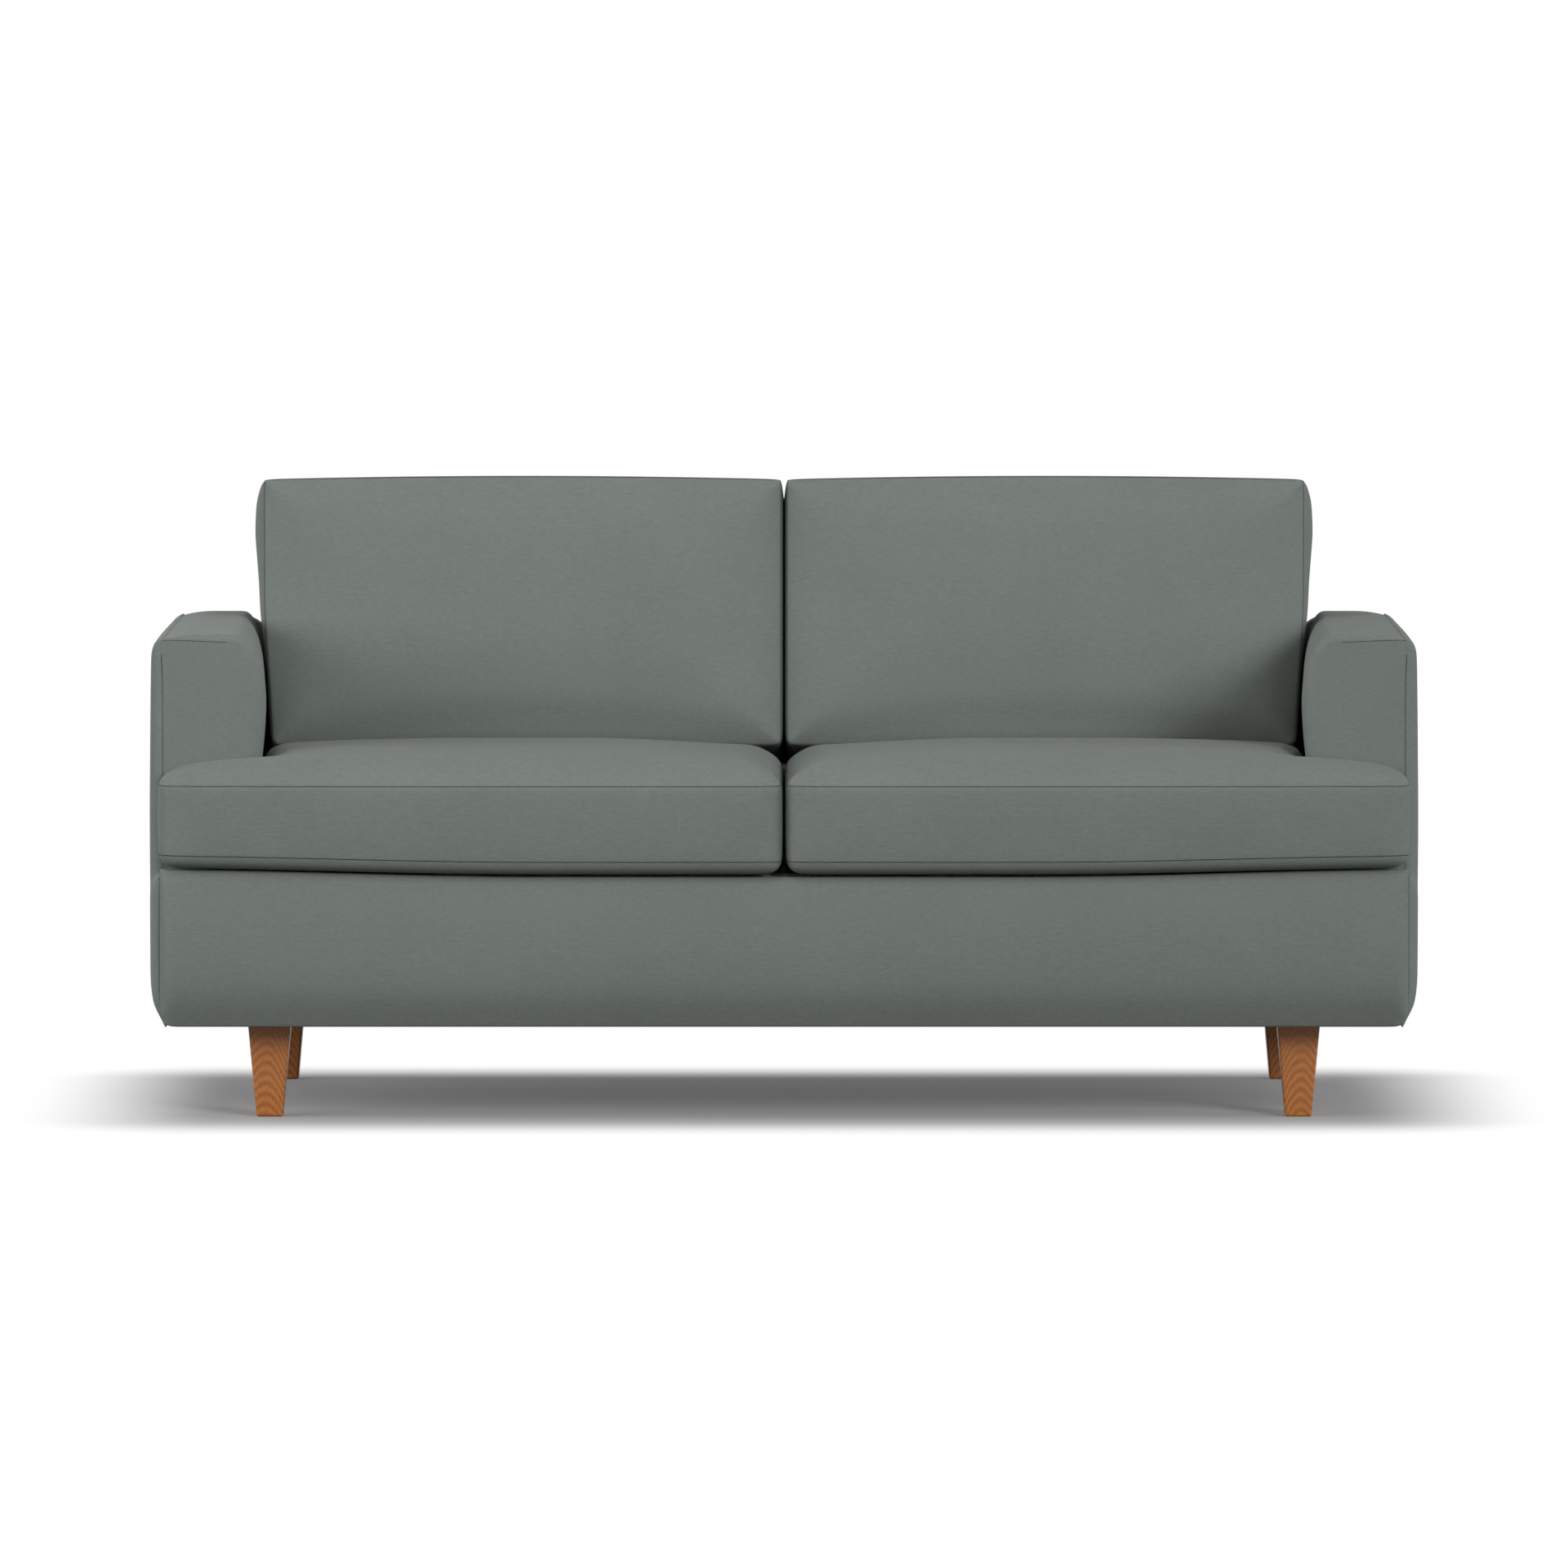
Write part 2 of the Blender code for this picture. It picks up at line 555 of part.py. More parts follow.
def arm_cover(side, word):
    """The three padded panels of an arm: top and inside, outside, and the front facing."""
    turns = [math.pi / 2 * i / ARM_CORNER_STEPS for i in range(ARM_CORNER_STEPS + 1)]
    centre = (ARM_INNER_FRONT + ARM_CORNER_WIDE, ARM_TOP - ARM_CORNER_HIGH)
    share = 2 / ARM_CORNER_POWER
    outer = [
        (
            centre[0] - ARM_CORNER_WIDE * abs(math.cos(a)) ** share,
            centre[1] + ARM_CORNER_HIGH * math.sin(a) ** share,
        )
        for a in turns
    ]
    lining = (centre[0], ARM_TOP - ARM_TOP_PAD - ARM_LINING_CORNER)
    inner = [
        (lining[0] - ARM_LINING_CORNER * math.cos(a), lining[1] + ARM_LINING_CORNER * math.sin(a))
        for a in reversed(turns)
    ]
    edge = SIDE_PANEL_IN - GAP
    low = RAIL_TOP + GAP
    section = [(ARM_INNER_FRONT, low), *outer, (edge, ARM_TOP), (edge, ARM_TOP - ARM_TOP_PAD)]
    section += [*inner, (ARM_INNER_FRONT + ARM_PAD, low)]
    bm = bmesh.new()
    rear = FRAME_REAR
    loop = [bm.verts.new((x, ARM_PAD_FRONT, z)) for x, z in section]
    bm.faces.new(loop)
    moved = bmesh.ops.extrude_face_region(bm, geom=bm.faces[:], use_keep_orig=True)
    for item in moved["geom"]:
        if isinstance(item, bmesh.types.BMVert):
            item.co.y = rear
    # The inside of the arm runs outward to the rear, its outer edge stays straight.
    opens = (ARM_INNER_REAR - ARM_INNER_FRONT) / (rear - ARM_FRONT)
    for vert in bm.verts:
        left = (edge - vert.co.x) / (edge - ARM_INNER_FRONT)
        vert.co.x += opens * (vert.co.y - ARM_FRONT) * left
        vert.co.x *= side
    place("inside_arm_" + word, mesh_of(bm, "inside_arm", True), FABRIC)

    foot = (PANEL_REAR + GAP, PAD_BOTTOM)
    step = SEAT_Z - BASE_DROP
    outline = [
        foot,
        (BACK_PANEL_FRONT - GAP, PAD_BOTTOM),
        (BACK_PANEL_FRONT - GAP, ARM_TOP),
        (ARM_PAD_FRONT, ARM_TOP),
        (ARM_PAD_FRONT, step),
        (foot[0], step),
    ]
    padded(
        "outside_arm_" + word,
        outline,
        SIDE_EDGE,
        SIDE_SWELL,
        0,
        SIDE_ROLL,
        SIDE_STEP,
        (Y, Z, side * X),
        (side * SIDE_PANEL_IN, 0, 0),
        FABRIC,
    )

    face = rectangle((ARM_INNER_FRONT, ARM_SEAM), (SEAT_Z - BASE_DROP + GAP, ARM_TOP))

    def rounded(co):
        # The top inner corner is drawn onto the same curve as the padding behind it.
        u = (centre[0] - co.x) / ARM_CORNER_WIDE
        v = (co.y - centre[1]) / ARM_CORNER_HIGH
        if u > 0 and v > 0:
            reach = (u**ARM_CORNER_POWER + v**ARM_CORNER_POWER) ** (1 / ARM_CORNER_POWER)
            co.x = centre[0] - ARM_CORNER_WIDE * u * max(u, v) / reach
            co.y = centre[1] + ARM_CORNER_HIGH * v * max(u, v) / reach
        return co

    padded(
        "arm_front_" + word,
        face,
        ARM_FACE - ARM_FACE_SWELL,
        ARM_FACE_SWELL,
        0,
        ARM_FACE_ROLL,
        FACE_STEP,
        (side * X, Z, -Y),
        (0, ARM_FRONT + ARM_FACE, 0),
        FABRIC,
        rounded,
    )


def back():
    """The back frame, the board under the back cushions, and the two padded back panels."""
    inner_post = BACK_POST_OUT - BACK_POST_WIDTH - GAP
    top_z = (BACK_RAIL_TOP - BACK_RAIL_HEIGHT, BACK_RAIL_TOP)
    box("back_top_rail", (-inner_post, inner_post), (BACK_POST_FRONT, FRAME_REAR), top_z, TIMBER, EDGE)
    deck_x = ARM_INNER_FRONT + (ARM_INNER_REAR - ARM_INNER_FRONT) * (DECK_FRONT - ARM_FRONT) / (FRAME_REAR - ARM_FRONT)
    deck_x -= STRAP
    deck_z = (DECK_Z, DECK_TOP)
    box("back_deck", (-deck_x, deck_x), (DECK_FRONT, BACK_POST_FRONT - GAP), deck_z, BOARD, EDGE)

    foot_y = BACK_CUSHION_FRONT + BACK_CUSHION_THICK / math.cos(LEAN) + BACK_CUSHION_REST
    lean_run = (BACK_TOP - DECK_TOP) * math.tan(LEAN)

    def leaning(co):
        # The face rises with the lean of the back cushions.
        if co.z > 0:
            height = (co.y - DECK_TOP) / (BACK_TOP - DECK_TOP)
            co.z -= lean_run * height
        return co

    padded(
        "inside_back",
        rectangle((-BACK_HALF, BACK_HALF), (DECK_TOP + GAP, BACK_TOP)),
        BACK_POST_FRONT - GAP - foot_y - BACK_SWELL / 2,
        BACK_SWELL / 2,
        0,
        PAD_ROLL,
        PANEL_STEP,
        (X, Z, -Y),
        (0, BACK_POST_FRONT - GAP, 0),
        FABRIC,
        leaning,
    )
    outline = [
        (-ARM_SEAM, PAD_BOTTOM),
        (ARM_SEAM, PAD_BOTTOM),
        (ARM_SEAM, ARM_TOP),
        (BACK_HALF, ARM_TOP),
        (BACK_HALF, BACK_TOP),
        (-BACK_HALF, BACK_TOP),
        (-BACK_HALF, ARM_TOP),
        (-ARM_SEAM, ARM_TOP),
    ]
    panel = padded(
        "outside_back",
        outline,
        BACK_PAD,
        BACK_SWELL,
        0,
        PAD_ROLL,
        PANEL_STEP,
        (X, Z, Y),
        (0, BACK_PANEL_FRONT, 0),
        FABRIC,
    )
    cap_y = (BACK_POST_FRONT, BACK_PANEL_FRONT + OVERRUN)
    fuse(panel, box("back_cap", (-BACK_HALF, BACK_HALF), cap_y, (BACK_TOP - BACK_CAP, BACK_TOP), FABRIC))


def seat_cushion(side, word):
    """A T-shaped box cushion whose ear reaches in front of the arm."""
    ear_rear = FRONT + EAR_DEPTH
    outline = [
        (CUSHION_HALF_GAP, FRONT),
        (EAR_SIDE, FRONT),
        (EAR_SIDE, ear_rear),
        (CUSHION_SIDE, ear_rear),
        (CUSHION_SIDE, CUSHION_REAR),
        (CUSHION_HALF_GAP, CUSHION_REAR),
    ]
    middle_x = (CUSHION_HALF_GAP + CUSHION_SIDE) / 2
    half_x = (CUSHION_SIDE - CUSHION_HALF_GAP) / 2

    def drawn_in(co):
        # The front and rear faces pull in a little between the corners.
        across_share = min(1.0, abs(co.x - middle_x) / half_x)
        middle_y = (FRONT + CUSHION_REAR) / 2
        along_share = (co.y - middle_y) / (CUSHION_REAR - middle_y)
        co.y -= CUSHION_DRAW * (1 - across_share**2) * along_share
        return co

    padded(
        "seat_cushion_" + word,
        outline,
        CUSHION_BAND + CUSHION_BELOW,
        CUSHION_CROWN,
        0,
        CUSHION_REACH,
        CUSHION_STEP,
        (side * X, Y, Z),
        (0, 0, SEAT_Z + GAP),
        FABRIC,
        drawn_in,
    )


def back_cushion(side, word):
    """A box cushion that leans on the inside back and widens above the arms."""
    height = (BACK_CUSHION_TOP - DECK_TOP - 2 * GAP) / math.cos(LEAN) - BACK_CUSHION_THICK * math.tan(LEAN)

    def widened(co):
        share = min(max(co.y / height, 0.0), 1.0)
        for (low, a), (high, b) in zip(BACK_CUSHION_WIDTH_SHARES, BACK_CUSHION_WIDTH_SHARES[1:]):
            if low <= share <= high:
                part = (share - low) / (high - low)
                wide = a + (b - a) * part * part * (3 - 2 * part)
        co.x = CUSHION_HALF_GAP + (co.x - CUSHION_HALF_GAP) * wide
        return co

    up = Vector((0, math.sin(LEAN), math.cos(LEAN)))
    forward = Vector((0, -math.cos(LEAN), math.sin(LEAN)))
    rear_foot = Vector((0, BACK_CUSHION_FRONT, DECK_TOP + 2 * GAP)) - forward * BACK_CUSHION_THICK
    rear_foot.z = DECK_TOP + 2 * GAP
    padded(
        "back_cushion_" + word,
        rectangle((CUSHION_HALF_GAP, BACK_CUSHION_LOW_HALF), (0, height)),
        BACK_CUSHION_THICK,
        BACK_CUSHION_CROWN,
        0,
        BACK_CUSHION_REACH,
        BACK_CUSHION_STEP,
        (side * X, up, forward),
        rear_foot,
        FABRIC,
        widened,
    )


def side_plate(side, word):
    """The steel plate on a side rail: main pivot and link pivot pins, and an upright under the back deck."""
    top = RAIL_TOP
    upright = (BACK - UPRIGHT_BACKSET - UPRIGHT_WIDTH, BACK - UPRIGHT_BACKSET)
    outline = [
        (RAIL_REAR + 2 * GAP, PLATE_BOTTOM),
        (upright[1], PLATE_BOTTOM),
        (upright[1], DECK_Z - GAP),
        (upright[0], DECK_Z - GAP),
        (upright[0], top),
        (RAIL_REAR + 2 * GAP, top),
    ]
    plate = sheet_metal("side_plate_" + word, side, outline, PLATE_IN, PLATE_OUT, STEEL)
    for label, y, z, radius in (("pivot", PIVOT_Y, PIVOT_Z, PIVOT_PIN), ("link", LINK_Y, LINK_TOP_Z, PIN_RADIUS)):
        stud = pin(label + "_stud_" + word, side, y, z, radius, STRAP_IN_B + GAP, PLATE_IN + OVERRUN, STEEL)
        fuse(plate, stud)


def bed_rail(name, side, y, z, material=STEEL):
    return box(name, across(side, BED_RAIL_OUT - BED_RAIL, BED_RAIL_OUT), y, z, material)


def body_rail(side, word):
    """Side rail of the section that turns over, with its bracket up to the main pivot."""
    rail_z = (BODY_RAIL_BOTTOM, BODY_RAIL_TOP)
    rail = bed_rail("body_rail_" + word, side, (BED_FRONT, FOOT_HINGE_Y - RAIL_END), rail_z)
    boss_y = (PIVOT_Y + PIVOT_RADIUS, PIVOT_Y + PIVOT_RADIUS + LUG_REACH)
    boss_z = (BODY_RAIL_BOTTOM + OVERRUN, BODY_RAIL_TOP - OVERRUN)
    corners = [(y, z) for y in boss_y for z in rail_z]
    # The bracket stays slim beside the pivot, so that it clears the front rail when it is turned over.
    bend = circle(PIVOT_Y, sum(rail_z) / 2, PIVOT_RADIUS)
    upper = wrap(circle(PIVOT_Y, PIVOT_Z, PIVOT_RADIUS) + bend)
    lower = wrap(circle(PIVOT_Y, HEAD_HINGE_Z, LUG_RADIUS) + bend + corners)
    hole = (PIVOT_Y, PIVOT_Z, PIVOT_PIN + PIN_PLAY)
    strap = (STRAP_IN_B, STRAP_IN_B + STRAP)
    bracket = sheet_metal("bracket_" + word, side, upper, *strap, STEEL, [hole])
    arm = sheet_metal("bracket_arm_" + word, side, lower, *strap, STEEL)
    reach = (BED_RAIL_OUT - OVERRUN, STRAP_IN_B + OVERRUN)
    boss = box("boss_" + word, across(side, *reach), boss_y, boss_z, STEEL)
    head_pin_in = BED_RAIL_OUT - LUG_THICK + GAP
    head_pin = pin("head_pin_" + word, side, PIVOT_Y, HEAD_HINGE_Z, PIN_RADIUS, head_pin_in, reach[1], STEEL)
    leaf_in = BED_RAIL_OUT - BED_RAIL
    end_corners = [(FOOT_HINGE_Y - RAIL_END - OVERRUN, z) for z in boss_z]
    leaf_outline = wrap(circle(FOOT_HINGE_Y, FOOT_HINGE_Z, LUG_RADIUS) + end_corners)
    leaf = sheet_metal("leaf_" + word, side, leaf_outline, leaf_in, leaf_in + LEAF, STEEL)
    foot_pin_y = (FOOT_HINGE_Y, FOOT_HINGE_Z)
    foot_pin = pin("foot_pin_" + word, side, *foot_pin_y, PIN_RADIUS, leaf_in + OVERRUN, BED_RAIL_OUT - GAP, STEEL)
    leg_reach = (BED_RAIL_OUT - OVERRUN, STRAP_IN_B + STRAP - GAP)
    leg_pin = pin("mid_leg_pin_" + word, side, MID_LEG_Y, MID_LEG_Z, PIN_RADIUS, *leg_reach, STEEL)
    fuse(rail, boss, bracket, arm, head_pin, leaf, foot_pin, leg_pin)


def head_rail(side, word):
    """Side rail of the head section, with lugs for its hinge and for the rear link."""
    rail_z = (HEAD_RAIL_BOTTOM, HEAD_RAIL_TOP)
    rail = bed_rail("head_rail_" + word, side, (BED_FRONT, HEAD_REAR), rail_z)
    lug = (BED_RAIL_OUT - LUG_THICK, BED_RAIL_OUT)
    low = HEAD_RAIL_TOP - OVERRUN
    for label, y, z, foot in (
        ("hinge", PIVOT_Y, HEAD_HINGE_Z, (BED_FRONT, BED_FRONT + LUG_REACH)),
        ("link", LINK_Y, LINK_LOW_Z, (LINK_Y - LUG_RADIUS, LINK_Y + LUG_RADIUS)),
    ):
        outline = wrap(circle(y, z, LUG_RADIUS) + [(foot[0], low), (foot[1], low)])
        hole = (y, z, PIN_RADIUS + PIN_PLAY)
        fuse(rail, sheet_metal(label + "_lug_" + word, side, outline, *lug, STEEL, [hole]))


def foot_rail(side, word):
    """Side rail of the foot section, with its hinge leaf and the pivot pin of its leg."""
    rail_z = (FOOT_RAIL_BOTTOM, FOOT_RAIL_TOP)
    rail_end = FOOT_HINGE_Y - RAIL_END
    rail = bed_rail("foot_rail_" + word, side, (FOOT_FRONT, rail_end), rail_z)
    corners = [(rail_end - OVERRUN, z) for z in (rail_z[0] + OVERRUN, rail_z[1] - OVERRUN)]
    outline = wrap(circle(FOOT_HINGE_Y, FOOT_HINGE_Z, LUG_RADIUS) + corners)
    hole = (FOOT_HINGE_Y, FOOT_HINGE_Z, PIN_RADIUS + PIN_PLAY)
    leaf_x = (BED_RAIL_OUT - LEAF, BED_RAIL_OUT)
    leaf = sheet_metal("foot_leaf_" + word, side, outline, *leaf_x, STEEL, [hole])
    reach = (BED_RAIL_OUT - OVERRUN, STRAP_IN_A + STRAP - GAP)
    leg_pin = pin("foot_leg_pin_" + word, side, FOOT_LEG_Y, FOOT_LEG_Z, PIN_RADIUS, *reach, STEEL)
    fuse(rail, leaf, leg_pin)


def strap_with_hole(name, side, hole_at, far_at, inner, width):
    """A flat steel bar with round ends and a pivot hole at one of them."""
    half = width / 2
    outline = wrap(circle(*hole_at, half) + circle(*far_at, half))
    hole = (*hole_at, PIN_RADIUS + PIN_PLAY)
    return sheet_metal(name, side, outline, inner, inner + STRAP, STEEL, [hole])


def moving_steel(side, word):
    """The rear link of the head section and the two folding legs of one side."""
    link = strap_with_hole(
        "rear_link_" + word, side, (LINK_Y, LINK_TOP_Z), (LINK_Y, LINK_LOW_Z), STRAP_IN_B, 2 * LUG_RADIUS
    )
    link_pin_reach = (BED_RAIL_OUT - LUG_THICK + GAP, STRAP_IN_B + OVERRUN)
    fuse(link, pin("link_pin_" + word, side, LINK_Y, LINK_LOW_Z, PIN_RADIUS, *link_pin_reach, STEEL))
    foot_end = (FOOT_LEG_Y + FOLD_LEG, FOOT_LEG_Z)
    strap_with_hole("foot_leg_" + word, side, (FOOT_LEG_Y, FOOT_LEG_Z), foot_end, STRAP_IN_A, FOLD_LEG_WIDTH)
    mid_end = (MID_LEG_Y - FOLD_LEG, MID_LEG_Z)
    strap_with_hole("mid_leg_" + word, side, (MID_LEG_Y, MID_LEG_Z), mid_end, STRAP_IN_B, FOLD_LEG_WIDTH)


def bed_sections():
    """The decks, the mattress panels and the two end tubes of the folded bed."""
    inner = BED_RAIL_OUT - BED_RAIL - GAP
    wide = (-inner, inner)
    padding = (-MATTRESS_HALF, MATTRESS_HALF)
    body_end = FOOT_HINGE_Y - SECTION_END
    sections = (
        ("head", (BED_FRONT, HEAD_REAR), HEAD_RAIL_TOP - BED_DECK, HEAD_TOP - MATTRESS),
        ("body", (BED_FRONT, body_end), BODY_RAIL_BOTTOM, BODY_BOTTOM),
        ("foot", (FOOT_FRONT, body_end), FOOT_RAIL_TOP - BED_DECK, FOOT_TOP - MATTRESS),
    )
    for word, y, deck, pad in sections:
        deck_y = (y[0] + RAIL_END, y[1] - RAIL_END)
        box(word + "_deck", wide, deck_y, (deck, deck + BED_DECK), MESH_DECK)
        box(word + "_mattress", padding, y, (pad, pad + MATTRESS), TICKING, MATTRESS_EDGE)
    for name, y, z in (
        ("head_end_tube", HEAD_REAR - TUBE, HEAD_RAIL_BOTTOM + TUBE / 2),
        ("pull_bar", FOOT_FRONT + TUBE, FOOT_RAIL_BOTTOM + TUBE / 2),
    ):
        tube = pin(name, 1, y, z, TUBE / 2, -inner, inner, STEEL)
        tube.data.shade_smooth()


base()
back()
bed_sections()
for side, word in ((-1, "left"), (1, "right")):
    leg("leg_front_" + word, side * LEG_X, PANEL_FRONT + LEG_SETBACK)
    leg("leg_rear_" + word, side * LEG_X, BACK - LEG_SETBACK)
    side_timber(side, word)
    arm_cover(side, word)
    side_plate(side, word)
    body_rail(side, word)
    head_rail(side, word)
    foot_rail(side, word)
    moving_steel(side, word)
    seat_cushion(side, word)
    back_cushion(side, word)

# Each moving piece has its origin on its joint's axis.
for names, y, z in (
    (("body_rail", "body_deck", "body_mattress"), PIVOT_Y, PIVOT_Z),
    (("head_rail", "head_deck", "head_mattress", "head_end_tube"), PIVOT_Y, HEAD_HINGE_Z),
    (("foot_rail", "foot_deck", "foot_mattress", "pull_bar"), FOOT_HINGE_Y, FOOT_HINGE_Z),
    (("rear_link",), LINK_Y, LINK_TOP_Z),
    (("foot_leg",), FOOT_LEG_Y, FOOT_LEG_Z),
    (("mid_leg",), MID_LEG_Y, MID_LEG_Z),
):
    axis = Vector((0, y, z))
    for obj in sofa_bed.objects:
        if obj.name.startswith(names):
            obj.data.transform(Matrix.Translation(obj.location - axis))
            obj.location = axis
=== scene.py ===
"""Looks of the two-seat sofa bed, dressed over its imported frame.

Metres, +Z up, the front faces -Y. Left and right are as seen from the front.
"""

import math

import bmesh
import bpy
from mathutils import Matrix, Vector


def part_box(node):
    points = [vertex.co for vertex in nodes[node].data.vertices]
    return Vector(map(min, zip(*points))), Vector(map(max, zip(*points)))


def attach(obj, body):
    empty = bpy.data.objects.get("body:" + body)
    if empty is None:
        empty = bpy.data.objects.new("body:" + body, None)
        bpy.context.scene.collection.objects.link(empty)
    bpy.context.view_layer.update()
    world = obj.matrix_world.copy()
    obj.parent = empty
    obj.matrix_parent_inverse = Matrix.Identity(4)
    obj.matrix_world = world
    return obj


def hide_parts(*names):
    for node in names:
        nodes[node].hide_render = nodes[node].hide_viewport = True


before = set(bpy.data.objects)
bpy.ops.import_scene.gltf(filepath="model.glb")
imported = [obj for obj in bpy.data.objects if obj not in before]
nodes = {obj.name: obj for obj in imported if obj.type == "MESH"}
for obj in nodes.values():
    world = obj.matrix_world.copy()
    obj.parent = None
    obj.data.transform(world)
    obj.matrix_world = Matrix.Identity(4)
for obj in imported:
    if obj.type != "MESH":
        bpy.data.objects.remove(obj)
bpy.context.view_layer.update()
SIDES = ((-1, "left"), (1, "right"))


# Base front panel. A timber rail padded with thin foam and covered with the sofa's
# woven upholstery fabric, pulled round the edges and stapled behind and below.
# The fabric is the same on every padded piece, so it is made here.
FABRIC_LIT = "#7b827d"
FABRIC_DEEP = "#6b726d"
# Painted shade: the seams are drawn as thin lines in a darker copy of the fabric, which stands for the
# shade down in each seam.
SEAM_SHADE_LIGHT = "#3c423f"  # the fabric as it looks down in a seam
SEAM_SHADE_DEEP = "#2c312f"
THREAD = 0.0018  # the real threads lie 0.6 mm apart, drawn three times as coarse to show
SLUB = (110.0, 110.0, 480.0)  # thick places of the yarn, about 9 mm long and 2 mm high
WEAVE_RELIEF = 0.00035
WEAVE_TONE, CLOUD_TONE, WEAVE_HEIGHT = 0.05, 0.25, 0.25  # beside the yarn's own
SEAM_RADIUS = 0.0007
BASE_ROLL = 0.022  # the run over which the fabric turns in at the ends
BASE_TOP_ROLL = 0.016
BASE_BOTTOM_ROLL = 0.060
BASE_BOTTOM_POWER = 0.8  # makes the turn at the bottom a little fuller
BASE_CORNER = 0.019  # radius of the bottom corners, seen from the front
BASE_SWELL = 0.006  # beyond the solid, at the middle height
BASE_EDGE = 0.1  # of the thickness, where the fabric turns in
BASE_BULGE = 0.35  # of the thickness, from the middle height to the edges
EAR_FROM, EAR_TO = 0.35, 0.92  # the run, across, where the panel's top and the cushion lift
BASE_EAR_LIFT = 0.011
BASE_REACH = 0.0032  # to the side panels, beyond the solid
PANEL_STEP = 0.040
ROLL_ROWS = (0.04, 0.12, 0.24, 0.42, 0.68, 1.0)
ROWS_APART = 0.0004  # grid lines closer than this are taken as one
NEAR = 0.001  # points this close to a line count as on it


def linear(colour):
    """An sRGB hex colour as linear red, green, blue and alpha."""
    parts = [int(colour[i : i + 2], 16) / 255 for i in (1, 3, 5)]
    return tuple(p / 12.92 if p <= 0.04045 else ((p + 0.055) / 1.055) ** 2.4 for p in parts) + (1.0,)


def fill(tree, node, inputs):
    """Links a node's inputs to sockets, or sets their values."""
    for name, value in inputs.items():
        if isinstance(value, bpy.types.NodeSocket):
            tree.links.new(value, node.inputs[name])
        else:
            node.inputs[name].default_value = value


def add(tree, kind, inputs=None, **settings):
    """Adds a node with its settings, and fills its inputs."""
    made = tree.nodes.new("ShaderNode" + kind)
    for name, value in settings.items():
        setattr(made, name, value)
    fill(tree, made, inputs or {})
    return made


def reckon(tree, operation, *values):
    """The result of a sum on numbers."""
    return add(tree, "Math", dict(enumerate(values)), operation=operation).outputs[0]


def reckon_vector(tree, operation, *values):
    """The result of a sum on vectors: a number where the operation gives one."""
    made = add(tree, "VectorMath", dict(enumerate(values)), operation=operation)
    return made.outputs["Value" if operation in ("DOT_PRODUCT", "LENGTH") else "Vector"]


def blend(tree, share, low, high):
    """The colour that lies between two by a share."""
    return add(tree, "Mix", {0: share, 6: low, 7: high}, data_type="RGBA").outputs[2]


def blank(name):
    """A new material, with its tree, its shader and its coordinates."""
    made = bpy.data.materials.new(name)
    made.use_nodes = True
    tree = made.node_tree
    return made, tree, tree.nodes["Principled BSDF"], add(tree, "TexCoord").outputs


def woven(name, lit, deep, thread, slub, relief=WEAVE_RELIEF):
    """Plain-weave cloth of spun yarn: crossing threads, slubs, a matt face and a little sheen."""
    made, tree, shader, spot = blank(name)
    # The threads run along two axes of each face: the third drops out by the face's direction.
    turns = reckon_vector(tree, "MULTIPLY", spot["Object"], [2 * math.pi / thread] * 3)
    facing = reckon_vector(tree, "ABSOLUTE", spot["Normal"])
    along = reckon_vector(tree, "SUBTRACT", (1, 1, 1), facing)
    weave = reckon_vector(tree, "DOT_PRODUCT", reckon_vector(tree, "SINE", turns), along)
    drawn = add(tree, "Mapping", {"Vector": spot["Object"], "Scale": slub}).outputs[0]
    yarn = {"Vector": drawn, "Scale": 1.0, "Detail": 3.0, "Roughness": 0.65}
    yarn = add(tree, "TexNoise", yarn).outputs["Fac"]
    cloud = add(tree, "TexNoise", {"Vector": spot["Object"], "Scale": 7.0, "Detail": 2.0}).outputs["Fac"]
    tone = reckon(tree, "MULTIPLY_ADD", weave, WEAVE_TONE, yarn)
    tone = reckon(tree, "MULTIPLY_ADD", cloud, CLOUD_TONE, tone)
    spread = add(tree, "MapRange", {"Value": tone, "From Min": 0.30, "From Max": 0.95}).outputs[0]
    height = reckon(tree, "MULTIPLY_ADD", weave, WEAVE_HEIGHT, yarn)
    bump = add(tree, "Bump", {"Height": height, "Strength": 0.6, "Distance": relief}).outputs[0]
    face = {"Base Color": blend(tree, spread, linear(deep), linear(lit)), "Normal": bump}
    face |= {"Roughness": 0.92, "Specular IOR Level": 0.15, "Sheen Weight": 0.05, "Sheen Roughness": 0.6}
    fill(tree, shader, face)
    return made


FABRIC = woven("woven_upholstery_fabric", FABRIC_LIT, FABRIC_DEEP, THREAD, SLUB)
# The seams' lines get this darker copy of the fabric as painted shade.
SEAM_SHADE_FABRIC = woven("woven_fabric_painted_seam_shade", SEAM_SHADE_LIGHT, SEAM_SHADE_DEEP, THREAD, SLUB)


def edge_distance(u, v, outline):
    """How far a point lies from an outline in its plane."""
    nearest = math.inf
    for (ua, va), (ub, vb) in zip(outline, outline[1:] + outline[:1]):
        run = Vector((ub - ua, vb - va))
        along = max(0.0, min(1.0, Vector((u - ua, v - va)).dot(run) / run.length_squared))
        nearest = min(nearest, (Vector((u - ua, v - va)) - along * run).length)
    return nearest


def inside(u, v, outline):
    """True where a point lies within an outline."""
    found = False
    for (ua, va), (ub, vb) in zip(outline, outline[1:] + outline[:1]):
        if (va > v) != (vb > v) and u < (ub - ua) * (v - va) / (vb - va) + ua:
            found = not found
    return found


